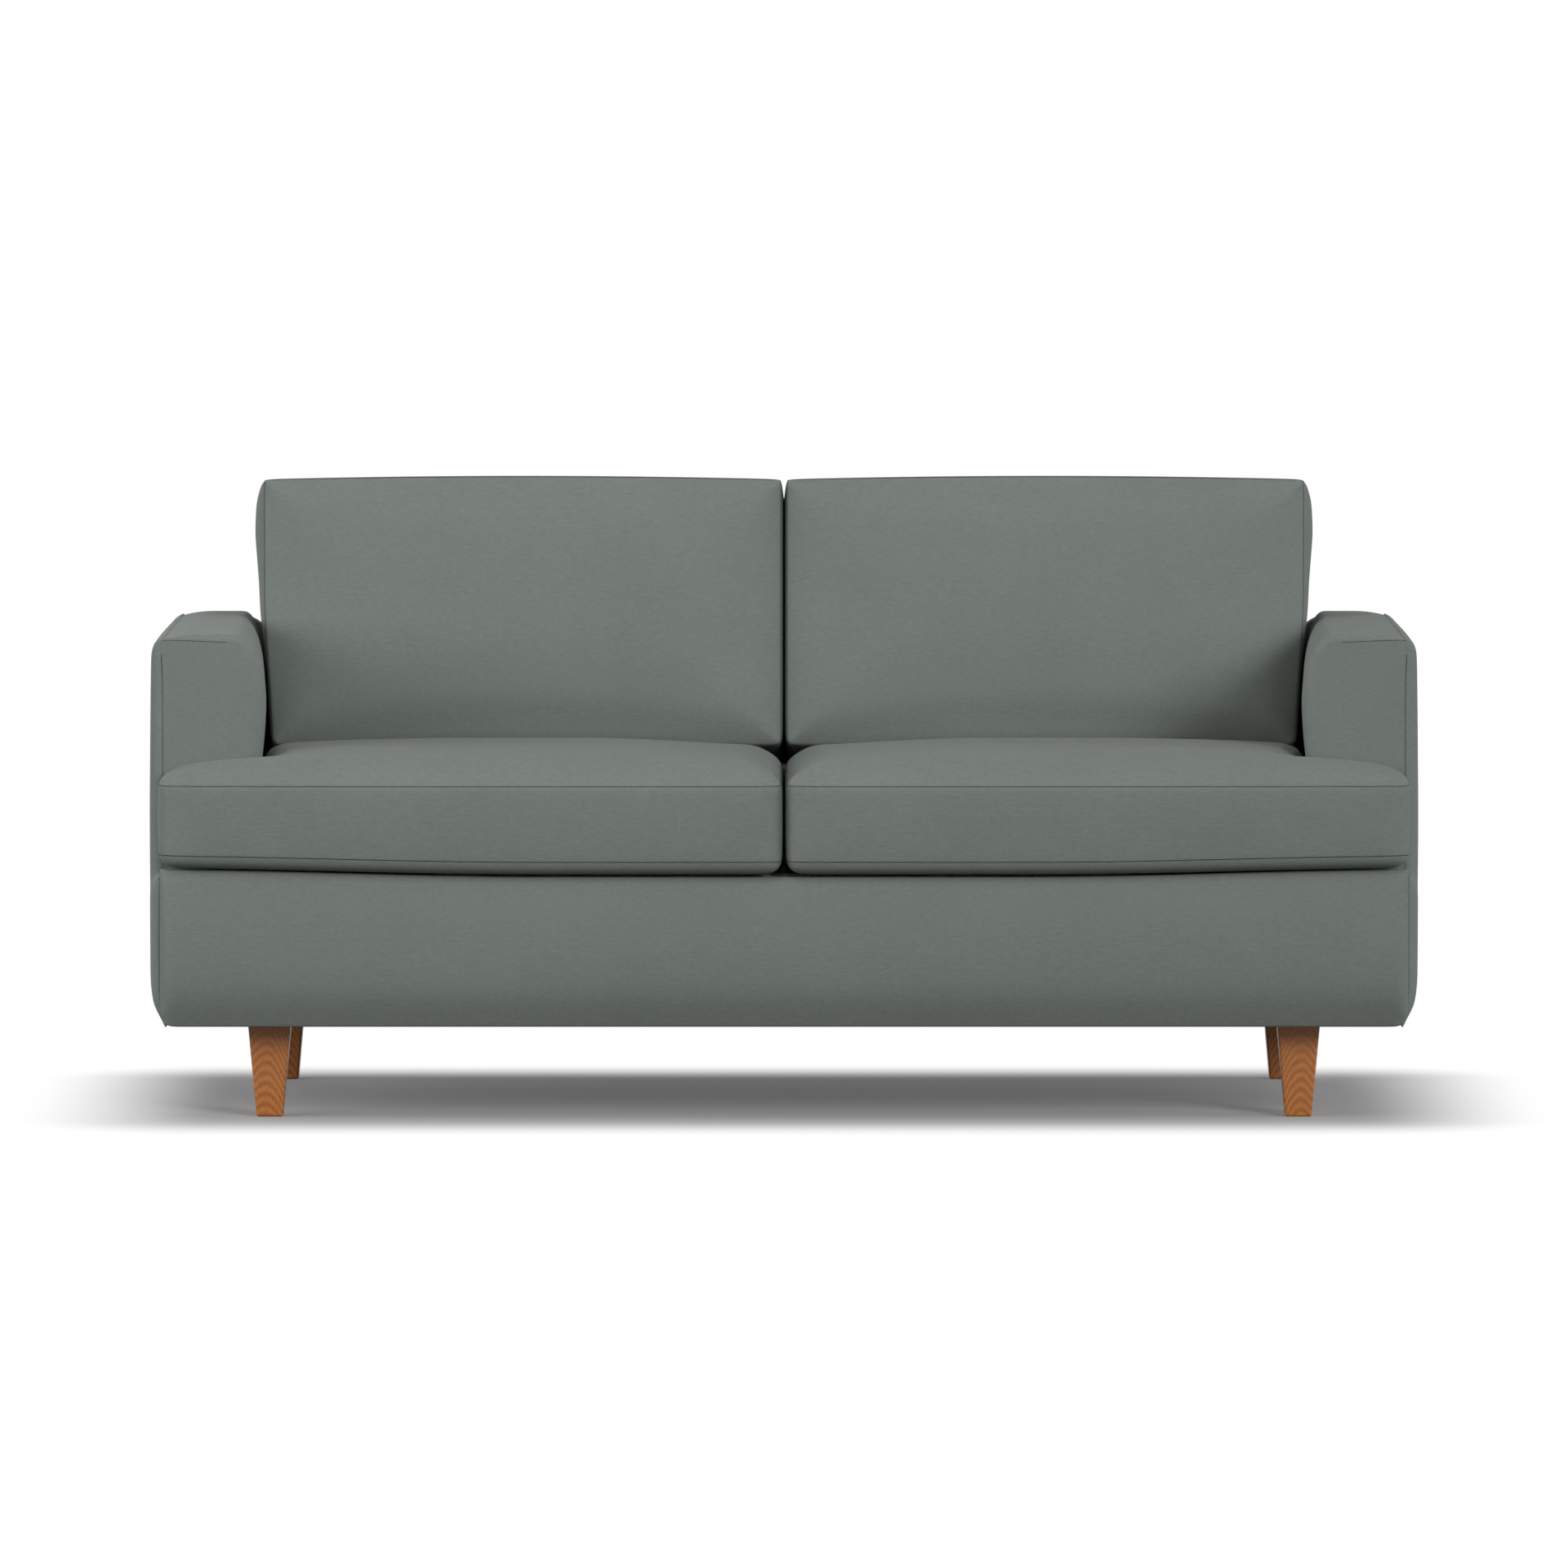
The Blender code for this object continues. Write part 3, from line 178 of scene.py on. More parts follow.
def rows_between(stops, roll, step):
    """Grid lines at the stops, close together within a roll of each, a step apart between."""
    stops = sorted(set(round(stop, 5) for stop in stops))
    found = set(stops)
    for low, high in zip(stops, stops[1:]):
        near = min(roll, (high - low) / 2)
        found |= {low + near * share for share in ROLL_ROWS}
        found |= {high - near * share for share in ROLL_ROWS}
        count = math.ceil(max(high - low - 2 * near, 0) / step)
        found |= {low + near + (high - low - 2 * near) * i / count for i in range(1, count)}
    tidy = []
    for line in sorted(found):
        if not tidy or line - tidy[-1] > ROWS_APART:
            tidy.append(line)
    return tidy


def boxed(outline, levels, roll, step):
    """A closed mesh over an outline whose sides run along the axes: top and bottom sheet,
    and a side band with a row of points at each level. Also gives the border points."""
    us = rows_between([u for u, v in outline], roll, step)
    vs = rows_between([v for u, v in outline], roll, step)
    bm = bmesh.new()
    made = {}

    def point(corner, level):
        key = (*corner, level)
        if key not in made:
            made[key] = bm.verts.new((us[corner[0]], vs[corner[1]], levels[level]))
        return made[key]

    top = len(levels) - 1
    sides = set()
    for i in range(len(us) - 1):
        for j in range(len(vs) - 1):
            if inside((us[i] + us[i + 1]) / 2, (vs[j] + vs[j + 1]) / 2, outline):
                ring = [(i, j), (i + 1, j), (i + 1, j + 1), (i, j + 1)]
                bm.faces.new([point(c, top) for c in ring])
                bm.faces.new([point(c, 0) for c in reversed(ring)])
                sides |= set(zip(ring, ring[1:] + ring[:1]))
    border = {a: b for a, b in sides if (b, a) not in sides}
    for a, b in border.items():
        for k in range(top):
            bm.faces.new([point(a, k), point(b, k), point(b, k + 1), point(a, k + 1)])
    loop = [min(border)]
    while border[loop[-1]] != loop[0]:
        loop.append(border[loop[-1]])
    return bm, [[made[(*corner, level)] for corner in loop] for level in range(top + 1)]


def round_corner(co, corner, towards, radius):
    """Draws a square corner of an outline onto an arc. towards points from the corner inwards."""
    u = (co.x - corner[0]) * towards[0]
    v = (co.y - corner[1]) * towards[1]
    if -NEAR <= u < radius and -NEAR <= v < radius:
        from_centre = Vector((radius - u, radius - v))
        if from_centre.length > 0:
            from_centre *= max(from_centre) / from_centre.length
        co.x = corner[0] + towards[0] * (radius - from_centre.x)
        co.y = corner[1] + towards[1] * (radius - from_centre.y)


def quarter(distance, reach):
    """Rise of a rolled edge at a distance from the seam, from 0 to 1."""
    left = 1 - min(max(distance, 0) / reach, 1.0)
    return math.sqrt(1 - left * left)


def slow_rise(distance, reach):
    """A quarter of a sine wave over the reach, from 0 to 1: gentler than quarter."""
    return math.sin(math.pi / 2 * min(1, max(0, distance) / reach))


def eased(value, low, high):
    """A smooth change from 0 at the low value to 1 at the high one."""
    share = min(1, max(0, (value - low) / (high - low)))
    return share * share * (3 - 2 * share)


def ear_share(x):
    """How far a place lies out under the ears of the seat cushions, from 0 to 1."""
    return eased(abs(x), EAR_FROM, EAR_TO)


def placed(name, data):
    """A new object in the scene."""
    obj = bpy.data.objects.new(name, data)
    bpy.context.scene.collection.objects.link(obj)
    return obj


def piece(name, bm, material, body, turn=None, smooth=True):
    """A finished mesh piece that rides on a body."""
    if turn:
        bm.transform(turn)
    bmesh.ops.recalc_face_normals(bm, faces=bm.faces)
    if bm.calc_volume(signed=True) < 0:
        bmesh.ops.reverse_faces(bm, faces=bm.faces)
    mesh = bpy.data.meshes.new(name)
    bm.to_mesh(mesh)
    bm.free()
    mesh.materials.append(material)
    mesh.shade_smooth()
    obj = placed(name, mesh)
    if smooth:
        rounds = obj.modifiers.new("smooth", "SUBSURF")
        rounds.levels = rounds.render_levels = 1
    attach(obj, body)
    return obj


def axes(u, v, w, origin):
    """The turn that takes a piece's own axes to the sofa's."""
    turn = Matrix([[*u, 0], [*v, 0], [*w, 0], [0, 0, 0, 1]]).transposed()
    turn.translation = origin
    return turn


X, Y, Z = Vector((1, 0, 0)), Vector((0, 1, 0)), Vector((0, 0, 1))


def seam(name, points, body, radius=SEAM_RADIUS, closed=False, material=SEAM_SHADE_FABRIC):
    """A stitched seam, drawn as a narrow line; by default in the fabric darkened as painted shade where two
    panels meet.
    """
    line = bpy.data.curves.new(name, "CURVE")
    line.dimensions = "3D"
    line.bevel_depth = radius
    line.bevel_resolution = 1
    line.use_fill_caps = True
    spline = line.splines.new("POLY")
    spline.points.add(len(points) - 1)
    for spot, co in zip(spline.points, points):
        spot.co = (*co, 1)
    spline.use_cyclic_u = closed
    line.materials.append(material)
    obj = placed(name, line)
    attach(obj, body)
    return obj


def rectangle(u, v):
    """The outline of a rectangle between two values each way."""
    return [(u[0], v[0]), (u[1], v[0]), (u[1], v[1]), (u[0], v[1])]


low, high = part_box("base_front_panel")
base_half, base_bottom, base_top = high.x + BASE_REACH, low.z, high.z
base_front, base_rear = low.y, high.y
base_outline = rectangle((-base_half, base_half), (base_bottom, base_top))
depth = base_rear - base_front
bm, _ = boxed(base_outline, (0, depth * BASE_EDGE), BASE_BOTTOM_ROLL, PANEL_STEP)
for vert in bm.verts:
    x, z = vert.co.xy
    if vert.co.z > 0:
        rise = quarter(base_half - abs(x), BASE_ROLL) * quarter(base_top - z, BASE_TOP_ROLL)
        rise *= slow_rise(z - base_bottom, BASE_BOTTOM_ROLL) ** BASE_BOTTOM_POWER
        height = 2 * (z - base_bottom) / (base_top - base_bottom) - 1
        full = depth * (1 - BASE_EDGE) * (1 - BASE_BULGE * height**2) + BASE_SWELL * (1 - height**2)
        vert.co.z += full * rise
    for corner, towards in zip(base_outline, ((1, 1), (-1, 1))):
        round_corner(vert.co, corner, towards, BASE_CORNER)
    vert.co.y += BASE_EAR_LIFT * ear_share(x) * eased(z, base_bottom, base_top)
base_panel = piece("base_panel_cover", bm, FABRIC, "sofa_frame", axes(X, Z, -Y, (0, base_rear, 0)))
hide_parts("base_front_panel")

# The fabric goes on over the timber rail and is stapled behind it.
FLAP_THICK = 0.0012
FLAP_GAP = 0.0003  # over the rail
FLAP_SETBACK = 0.0004  # behind the rail's front
FLAP_SHORT = 0.006  # of the panel's ends
FLAP_ROLL, FLAP_STEP = 0.002, 0.1
rail_low, rail_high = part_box("front_rail")
flap_half = base_half - FLAP_SHORT
flap_top = rail_high.z + FLAP_THICK + FLAP_GAP
flap = rectangle((-flap_half, flap_half), (rail_low.y + FLAP_SETBACK, rail_high.y))
bm, _ = boxed(flap, (flap_top - FLAP_THICK, flap_top), FLAP_ROLL, FLAP_STEP)
piece("base_rail_flap", bm, FABRIC, "sofa_frame", smooth=False)

# The corner in front of each arm, under the ear, is closed with a padded panel.
REST_INNER = 0.7345
REST_RISE = 0.0075
REST_GAP = 0.0010  # behind the rail's front and before the arm's
REST_EDGE = 0.002  # the run where the top is half as high
REST_ROLL, REST_STEP = 0.008, 0.03
for side, word in SIDES:
    across = sorted((side * REST_INNER, side * flap_half))
    rest = rectangle(across, (rail_low.y + REST_GAP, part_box("arm_front_" + word)[0].y - REST_GAP))
    bm, _ = boxed(rest, (flap_top, flap_top + REST_RISE), REST_ROLL, REST_STEP)
    for vert in bm.verts:
        if vert.co.z > flap_top and edge_distance(*vert.co.xy, rest) < REST_EDGE:
            vert.co.z -= REST_RISE / 2
    piece("ear_rest_" + word, bm, FABRIC, "sofa_frame")


# Arms. Each is a timber frame under foam: one cover runs up the inside, over the large
# inner corner, across the top and round the front, and a fuller panel closes the outside.
# A seam runs down the outer front edge, with a short dart across the top of the front.
ARM_CORNER_WIDE = 0.050  # of the inner corner at the front, and then at the rear
ARM_CORNER_REAR = 0.030
ARM_CORNER_HIGH = 0.105
ARM_CORNER_POWER = 2.3  # a little squarer than an ellipse
ARM_INNER_REAR = 0.765  # where the inside lies at the rear
ARM_FRONT_ROLL = 0.022  # of the front edge on the inside, on the top, and at the outer seam
ARM_TOP_ROLL = 0.011
ARM_SEAM_ROLL = 0.002
ARM_OUTER_DROP = 0.007  # of the top towards the outer seam
ARM_LAP = 0.003  # of the top, on under the outside panel
ARM_LAP_DROP = 0.0051
ARM_OUTER_TUCK = 0.0015  # of the closed side under that panel
ARM_FOOT_ROWS = (0.0, 0.0015, 0.006)  # close rows that keep the foot straight
ARM_TUCK = 0.007  # of the inside above the seat, from a height down over a run
ARM_TUCK_Z = 0.600
ARM_TUCK_RUN = 0.100
ARM_SIDE_ROWS, ARM_CORNER_ROWS, ARM_TOP_ROWS = 9, 14, 8
ARM_RINGS, ARM_ROLL_RINGS = 16, 7
ARM_FACE_SHARES = (0.85, 0.65, 0.4, 0.15)  # rings on the front, towards its middle
ARM_FACE_CROWN = 0.003
SEAM_FINE = 0.0006
ARM_SEAM_POINTS = 12
DART_LENGTH = 0.092
DART_DROP = 0.0068  # below the top at the outer seam, and how much lower at its end
DART_FALL = 0.004
DART_AHEAD = 0.01
DART_RADIUS = 0.0004
DART_POINTS = 16
SIDE_RISE = 0.0145  # of the outside panel, over these runs from its edges
SIDE_TOP_RUN = 0.026
SIDE_BOTTOM_RUN = 0.045
SIDE_BASE_RUN = 0.100
SIDE_FRONT_RUN = 0.030
SIDE_REAR_RUN = 0.060
SIDE_FOOT_TUCK = 0.0085  # of the whole panel inwards at its foot
SIDE_ROLL = 0.030
SIDE_SLOW = 0.013  # further swell towards the middle
SIDE_STEP = 0.030
SIDE_TURNED = 0.003  # turned in under the neighbouring panels at the seams
SIDE_SETBACK = 0.0005  # behind the arm's front


def even(low, high, count):
    """Places from the low value to the high one, in even steps."""
    return [low + (high - low) * i / count for i in range(count + 1)]


def arm_section(inner, outer, low, top, wide):
    """Outline of the arm across its length, from the foot of the inside to the outer seam.
    Each point has how far the front edge is rolled there."""
    points = []
    foot_rows = [low + row for row in ARM_FOOT_ROWS]
    for z in foot_rows + even(low, top - ARM_CORNER_HIGH, ARM_SIDE_ROWS)[1:-1]:
        tuck = ARM_TUCK * min(1, max(0, ARM_TUCK_Z - z) / ARM_TUCK_RUN) ** 2
        points.append((inner + tuck, z, ARM_FRONT_ROLL))
    for share in even(0, 1, ARM_CORNER_ROWS):
        turn = math.pi / 2 * share
        u = wide * (1 - math.cos(turn) ** (2 / ARM_CORNER_POWER))
        v = ARM_CORNER_HIGH * (1 - math.sin(turn) ** (2 / ARM_CORNER_POWER))
        points.append((inner + u, top - v, ARM_FRONT_ROLL + (ARM_TOP_ROLL - ARM_FRONT_ROLL) * share))
    start = inner + wide
    for share in even(0, 1, ARM_TOP_ROWS)[1:]:
        z = top - ARM_OUTER_DROP * (2 * max(0, share - 0.5)) ** 2
        roll = ARM_TOP_ROLL + (ARM_SEAM_ROLL - ARM_TOP_ROLL) * share**3
        points.append((start + (outer - start) * share, z, roll))
    points.append((outer + ARM_LAP, top - ARM_OUTER_DROP - ARM_LAP_DROP, ARM_SEAM_ROLL))
    rows = foot_rows + even(low, top - ARM_OUTER_DROP, ARM_TOP_ROWS)[1:-1]
    for z in reversed(rows):
        points.append((outer - ARM_OUTER_TUCK, z, ARM_SEAM_ROLL))
    return points


def skinned(rings):
    """A closed mesh through rings of points, with a face at each end."""
    bm = bmesh.new()
    loops = [[bm.verts.new(point) for point in ring] for ring in rings]
    for first, second in zip(loops, loops[1:]):
        for i in range(len(first)):
            j = (i + 1) % len(first)
            bm.faces.new([first[i], first[j], second[j], second[i]])
    bm.faces.new(loops[0])
    bm.faces.new(loops[-1])
    return bm


def laid_on(cover, points):
    """The nearest places to some points on a finished cover."""
    shown = cover.evaluated_get(bpy.context.evaluated_depsgraph_get())
    return [shown.closest_point_on_mesh(point)[1] for point in points]


for side, word in SIDES:
    facing_low, facing_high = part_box("arm_front_" + word)
    panel_low, panel_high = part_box("outside_arm_" + word)
    inner_front = min(abs(facing_low.x), abs(facing_high.x))
    seam_x = max(abs(facing_low.x), abs(facing_high.x))
    front, rear = facing_low.y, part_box("inside_arm_" + word)[1].y
    foot, top = facing_low.z, facing_high.z
    seam_top = top - ARM_OUTER_DROP
    # Rings from the rear to the front, then the rolled edge, then the crowned face.
    rings = []
    for y in even(rear, front + ARM_FRONT_ROLL, ARM_RINGS):
        share = max(0, (y - front) / (rear - front))
        inner = inner_front + (ARM_INNER_REAR - inner_front) * share
        wide = ARM_CORNER_WIDE + (ARM_CORNER_REAR - ARM_CORNER_WIDE) * share
        rings.append([(x, y, z) for x, z, roll in arm_section(inner, seam_x, foot, top, wide)])
    section = arm_section(inner_front, seam_x, foot, top, ARM_CORNER_WIDE)
    normals = []
    for i, (x, z, roll) in enumerate(section):
        below = (x, z - 1, 0)
        before = section[i - 1] if i else below
        after = section[i + 1] if i + 1 < len(section) else below
        along = Vector((after[0] - before[0], after[1] - before[1])).normalized()
        normals.append(Vector((along.y, -along.x)))
    for step in range(1, ARM_ROLL_RINGS + 1):
        turn = math.pi / 2 * step / ARM_ROLL_RINGS
        # A narrow roll starts further forward, and its points get there in two rings.
        ahead = min(1, step / 2)
        ring = []
        for (x, z, roll), normal in zip(section, normals):
            inset = roll * (1 - math.cos(turn))
            y = front + ARM_FRONT_ROLL - (ARM_FRONT_ROLL - roll) * ahead - roll * math.sin(turn)
            rise = normal.y * inset if z > foot + NEAR else 0
            ring.append((x + normal.x * inset, y, z + rise))
        rings.append(ring)
    middle_x, middle_z = (inner_front + seam_x) / 2, (foot + top) / 2
    face = rings[-1]
    for share in ARM_FACE_SHARES:
        crown = ARM_FACE_CROWN * (1 - share**2)
        ring = []
        for x, y, z in face:
            ring.append((middle_x + (x - middle_x) * share, y - crown, middle_z + (z - middle_z) * share))
        rings.append(ring)
    bm = skinned([[(side * x, y, z) for x, y, z in ring] for ring in rings])
    arm = piece("arm_cover_" + word, bm, FABRIC, "sofa_frame")
    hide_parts("arm_front_" + word, "inside_arm_" + word)

    # The outside panel starts behind the front seam and, lower down, behind the base panel.
    panel_x = seam_x - SIDE_TURNED
    panel_front = base_rear - SIDE_TURNED / 2
    panel_top = seam_top + SIDE_TURNED / 4
    step_y = front + SIDE_SETBACK
    outline = [
        (panel_front, panel_low.z),
        (panel_high.y, panel_low.z),
        (panel_high.y, panel_top),
        (step_y, panel_top),
        (step_y, base_top),
        (panel_front, base_top),
    ]
    bm, _ = boxed(outline, (0, SIDE_TURNED), SIDE_ROLL, SIDE_STEP)
    for vert in bm.verts:
        y, z = vert.co.xy
        foot_rise = slow_rise(z - panel_low.z, SIDE_BOTTOM_RUN)
        if vert.co.z > 0:
            if z > base_top:
                notch = y - step_y
            elif y < step_y:
                notch = base_top - z
            else:
                notch = math.hypot(y - step_y, base_top - z)
            rise = quarter(panel_top - z, SIDE_TOP_RUN) * foot_rise
            rise *= quarter(y - panel_front, SIDE_BASE_RUN) * quarter(panel_high.y - y, SIDE_REAR_RUN)
            rise *= quarter(notch, SIDE_FRONT_RUN)
            height = math.sin(math.pi * (z - panel_low.z) / (panel_top - panel_low.z))
            length = math.sin(math.pi * (y - panel_front) / (panel_high.y - panel_front))
            vert.co.z += rise * (SIDE_RISE + SIDE_SLOW * math.sqrt(max(0, height)) * length**2)
        vert.co.z -= SIDE_FOOT_TUCK * (1 - foot_rise)
    turn = axes(Y, Z, side * X, (side * panel_x, 0, 0))
    panel = piece("arm_side_cover_" + word, bm, FABRIC, "sofa_frame", turn)
    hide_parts("outside_arm_" + word)
    edge = [(side * seam_x, front, z) for z in even(foot, seam_top, ARM_SEAM_POINTS)]
    seam("arm_seam_" + word, laid_on(arm, edge), "sofa_frame", SEAM_FINE)
    edge = []
    for share in even(0, 1, DART_POINTS):
        z = top - DART_DROP - DART_FALL * share
        edge.append((side * (seam_x - DART_LENGTH * share), front - DART_AHEAD, z))
    seam("arm_dart_" + word, laid_on(arm, edge), "sofa_frame", DART_RADIUS)


# Back. A timber frame whose inside is padded behind the cushions, and whose cover goes
# over the top rail and down the outside as one taut panel, stapled under the base.
BACK_ROLL = 0.028
BACK_LEAN = math.radians(7)
SHOULDER_FROM = 0.450  # the height from which the shoulders dip beside the back
SHOULDER_DROP = 0.014
INSIDE_ROWS = (0.02, 0.2, 0.4, 0.6, 0.8, 0.94)
INSIDE_ROUND = ((0.004, -0.006), (0.012, 0.0))  # of the top edge, from the leaning face on
INSIDE_STATIONS = 30
STRIP_THICK = 0.0006  # of the cover over the top rail
STRIP_GAP = 0.0005  # before the outside panel
BACK_SEAM_SINK = 0.0004
inside_low, inside_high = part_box("inside_back")
outer_low, outer_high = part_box("outside_back")
back_half, back_top = inside_high.x, inside_high.z
back_thick = outer_high.y - outer_low.y
outline = [
    (-outer_high.x, outer_low.z),
    (outer_high.x, outer_low.z),
    (outer_high.x, seam_top),
    (back_half, seam_top),
    (back_half, back_top),
    (-back_half, back_top),
    (-back_half, seam_top),
    (-outer_high.x, seam_top),
]
bm, _ = boxed(outline, (0, back_thick / 2), BACK_ROLL, PANEL_STEP)
for vert in bm.verts:
    rise = quarter(edge_distance(*vert.co.xy, outline), BACK_ROLL)
    if vert.co.z > 0:
        vert.co.z += back_thick / 2 * rise
    # The shoulders follow the round inner corners of the arms.
    if abs(vert.co.x) > back_half + NEAR / 2 and vert.co.y > SHOULDER_FROM:
        share = min(1, max(0, (abs(vert.co.x) - ARM_INNER_REAR) / ARM_CORNER_REAR))
        height = (vert.co.y - SHOULDER_FROM) / (seam_top - SHOULDER_FROM)
        vert.co.y -= SHOULDER_DROP * (1 - share) ** 2 * height
back_panel = piece("back_cover", bm, FABRIC, "sofa_frame", axes(X, Z, Y, (0, outer_low.y, 0)))
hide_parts("outside_back")

# The inside panel and the strip over the top rail are one folded sheet over foam.
lean_top = inside_low.y
lean_foot = lean_top + (back_top - inside_low.z) * math.tan(BACK_LEAN)
strip_end = outer_low.y - STRIP_GAP
profile = [(inside_high.y, inside_low.z), (lean_foot, inside_low.z)]
for share in INSIDE_ROWS:
    z = inside_low.z + (back_top - inside_low.z) * share
    profile.append((lean_foot + (lean_top - lean_foot) * share, z))
profile += [(lean_top + y, back_top + z) for y, z in INSIDE_ROUND]
profile += [(strip_end, back_top)]
profile += [(y, back_top - STRIP_THICK) for y in (strip_end, inside_high.y)]
stations = even(-back_half, back_half, INSIDE_STATIONS)
bm = skinned([[(x, y, z) for y, z in profile] for x in stations])
inside_panel = piece("inside_back_cover", bm, FABRIC, "sofa_frame", smooth=False)
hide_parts("inside_back")
edge = [(x, outer_low.y + STRIP_GAP, back_top - BACK_SEAM_SINK) for x in (-back_half, back_half)]
seam("back_top_seam", edge, "sofa_frame")


# Seat cushions. Loose T-shaped foam cushions with a sewn box band: the ears reach in
# front of the arms. The covers are blown out from their seams by a short simulation.
SEAT_ROWS_NEAR = 0.060
SEAT_STEP = 0.018
SEAT_BAND_ROWS = 7
SEAT_SEAM_Z = 0.4775
SEAT_EAR_GAP = 0.008  # before the arm's front
SEAT_SIDE_GAP = 0.0075  # beside the arm's inside
SEAT_UNDER = 0.019  # from the seat plane up to the lower seam
SEAT_UNDER_RUN = 0.026
SEAT_ROLL_RISE = 0.022  # of the top over the runs from its seam
SEAT_ROLL_RUN = 0.036
SEAT_INNER_RUN = 0.030
SEAT_SIDE_RUN = 0.010
SEAT_EAR_RUN = 0.046
SEAT_CROWN = 0.018  # further rise over the runs
SEAT_CROWN_WIDE = 0.300
SEAT_CROWN_DEEP = 0.200
SEAT_CORNER = 0.022
SEAT_EAR_CORNER = 0.034
SEAT_REAR_CORNER = 0.012
SEAT_SIDE_LIFT = 0.016  # of the side seam beside the arms, from the ear back over a run
SEAT_LIFT_RUN = 0.12
SEAT_LIFT_LOSS = 0.7  # of the lift, over the last run to the rear
SEAT_LOSS_RUN = 0.06
SEAT_SIDE_FALL = 0.007  # of the top there, from these places outwards and rearwards
SEAT_FALL_X = 0.45
SEAT_FALL_Y = (-0.25, 0.10)
SEAT_SPLAY = 0.024  # of the side towards the rear, as far as the arms leave room
SEAT_SPLAY_X = 0.5
SEAT_SPLAY_POWER = 0.6
SEAT_SPLAY_FOOT = 0.4  # of the splay, at the lower seam
SEAT_EAR_LIFT = 0.009
SEAT_AIR_CAP = 0.006
AIR_FRAMES = 14
AIR_PRESSURE = 3.0
CLOTH_QUALITY = 5
CLOTH_MASS = 0.3


def blow_out(obj, held, cap):
    """Air pressure puffs a cover out between its seams. No point moves further than the cap."""
    before = [vert.co.copy() for vert in obj.data.vertices]
    rounds = obj.modifiers["smooth"]
    rounds.show_viewport = False
    obj.vertex_groups.new(name="held").add(held, 1.0, "REPLACE")
    cloth = obj.modifiers.new("air", "CLOTH")
    cloth.settings.quality = CLOTH_QUALITY
    cloth.settings.mass = CLOTH_MASS
    cloth.settings.vertex_group_mass = "held"
    cloth.settings.use_pressure = True
    cloth.settings.uniform_pressure_force = AIR_PRESSURE
    cloth.settings.effector_weights.gravity = 0
    cloth.point_cache.frame_start = 1
    cloth.point_cache.frame_end = AIR_FRAMES
    for number in range(1, AIR_FRAMES + 1):
        bpy.context.scene.frame_set(number)
    blown = obj.evaluated_get(bpy.context.evaluated_depsgraph_get()).data
    after = [vert.co.copy() for vert in blown.vertices]
    obj.modifiers.remove(cloth)
    rounds.show_viewport = True
    bpy.context.scene.frame_set(1)
    moves = [end - start for start, end in zip(before, after)]
    for vert, start, move in zip(obj.data.vertices, before, moves):
        if move.length > cap:
            move = move * (cap / move.length)
        vert.co = start + move
    lengths = sorted(move.length * 1000 for move in moves)
    print(f"{obj.name}: air moved points by {lengths[len(moves) // 2]:.1f} mm, at most {lengths[-1]:.1f}")


def mirrored(obj, name, body):
    """The same sewn cover for the other side of the sofa, in place of its body's cushion."""
    mesh = obj.data.copy()
    mesh.transform(Matrix.Scale(-1, 4, X))
    mesh.flip_normals()
    twin = placed(name, mesh)
    rounds = twin.modifiers.new("smooth", "SUBSURF")
    rounds.levels = rounds.render_levels = 1
    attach(twin, body)
    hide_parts(body)
    return twin


def sewn(cover, name, points, body):
    """A seam that lies on the right cover, all round, and its mirror image on the left one."""
    laid = laid_on(cover, points)
    seam(name + "_right", laid, body + "_right", SEAM_FINE, True)
    seam(name + "_left", [(-x, y, z) for x, y, z in laid], body + "_left", SEAM_FINE, True)


seat_low, seat_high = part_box("seat_cushion_right")
facing_low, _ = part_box("arm_front_right")
ear_rear = facing_low.y - SEAT_EAR_GAP
seat_side = facing_low.x - SEAT_SIDE_GAP
seat_outline = [
    (seat_low.x, seat_low.y),
    (seat_high.x, seat_low.y),
    (seat_high.x, ear_rear),
    (seat_side, ear_rear),
    (seat_side, seat_high.y),
    (seat_low.x, seat_high.y),
]
corners = (
    ((seat_low.x, seat_low.y), (1, 1), SEAT_CORNER),
    ((seat_high.x, seat_low.y), (-1, 1), SEAT_EAR_CORNER),
    ((seat_high.x, ear_rear), (-1, -1), SEAT_CORNER),
    ((seat_side, seat_high.y), (-1, -1), SEAT_REAR_CORNER),
    ((seat_low.x, seat_high.y), (1, -1), SEAT_CORNER),
)
bottom_seam = seat_low.z + SEAT_UNDER
levels = even(bottom_seam, SEAT_SEAM_Z, SEAT_BAND_ROWS)
bm, rims = boxed(seat_outline, levels, SEAT_ROWS_NEAR, SEAT_STEP)
bm.verts.index_update()
rim_points = {vert for rim in rims for vert in rim}
held = {vert.index for rim in (rims[0], rims[-1]) for vert in rim}
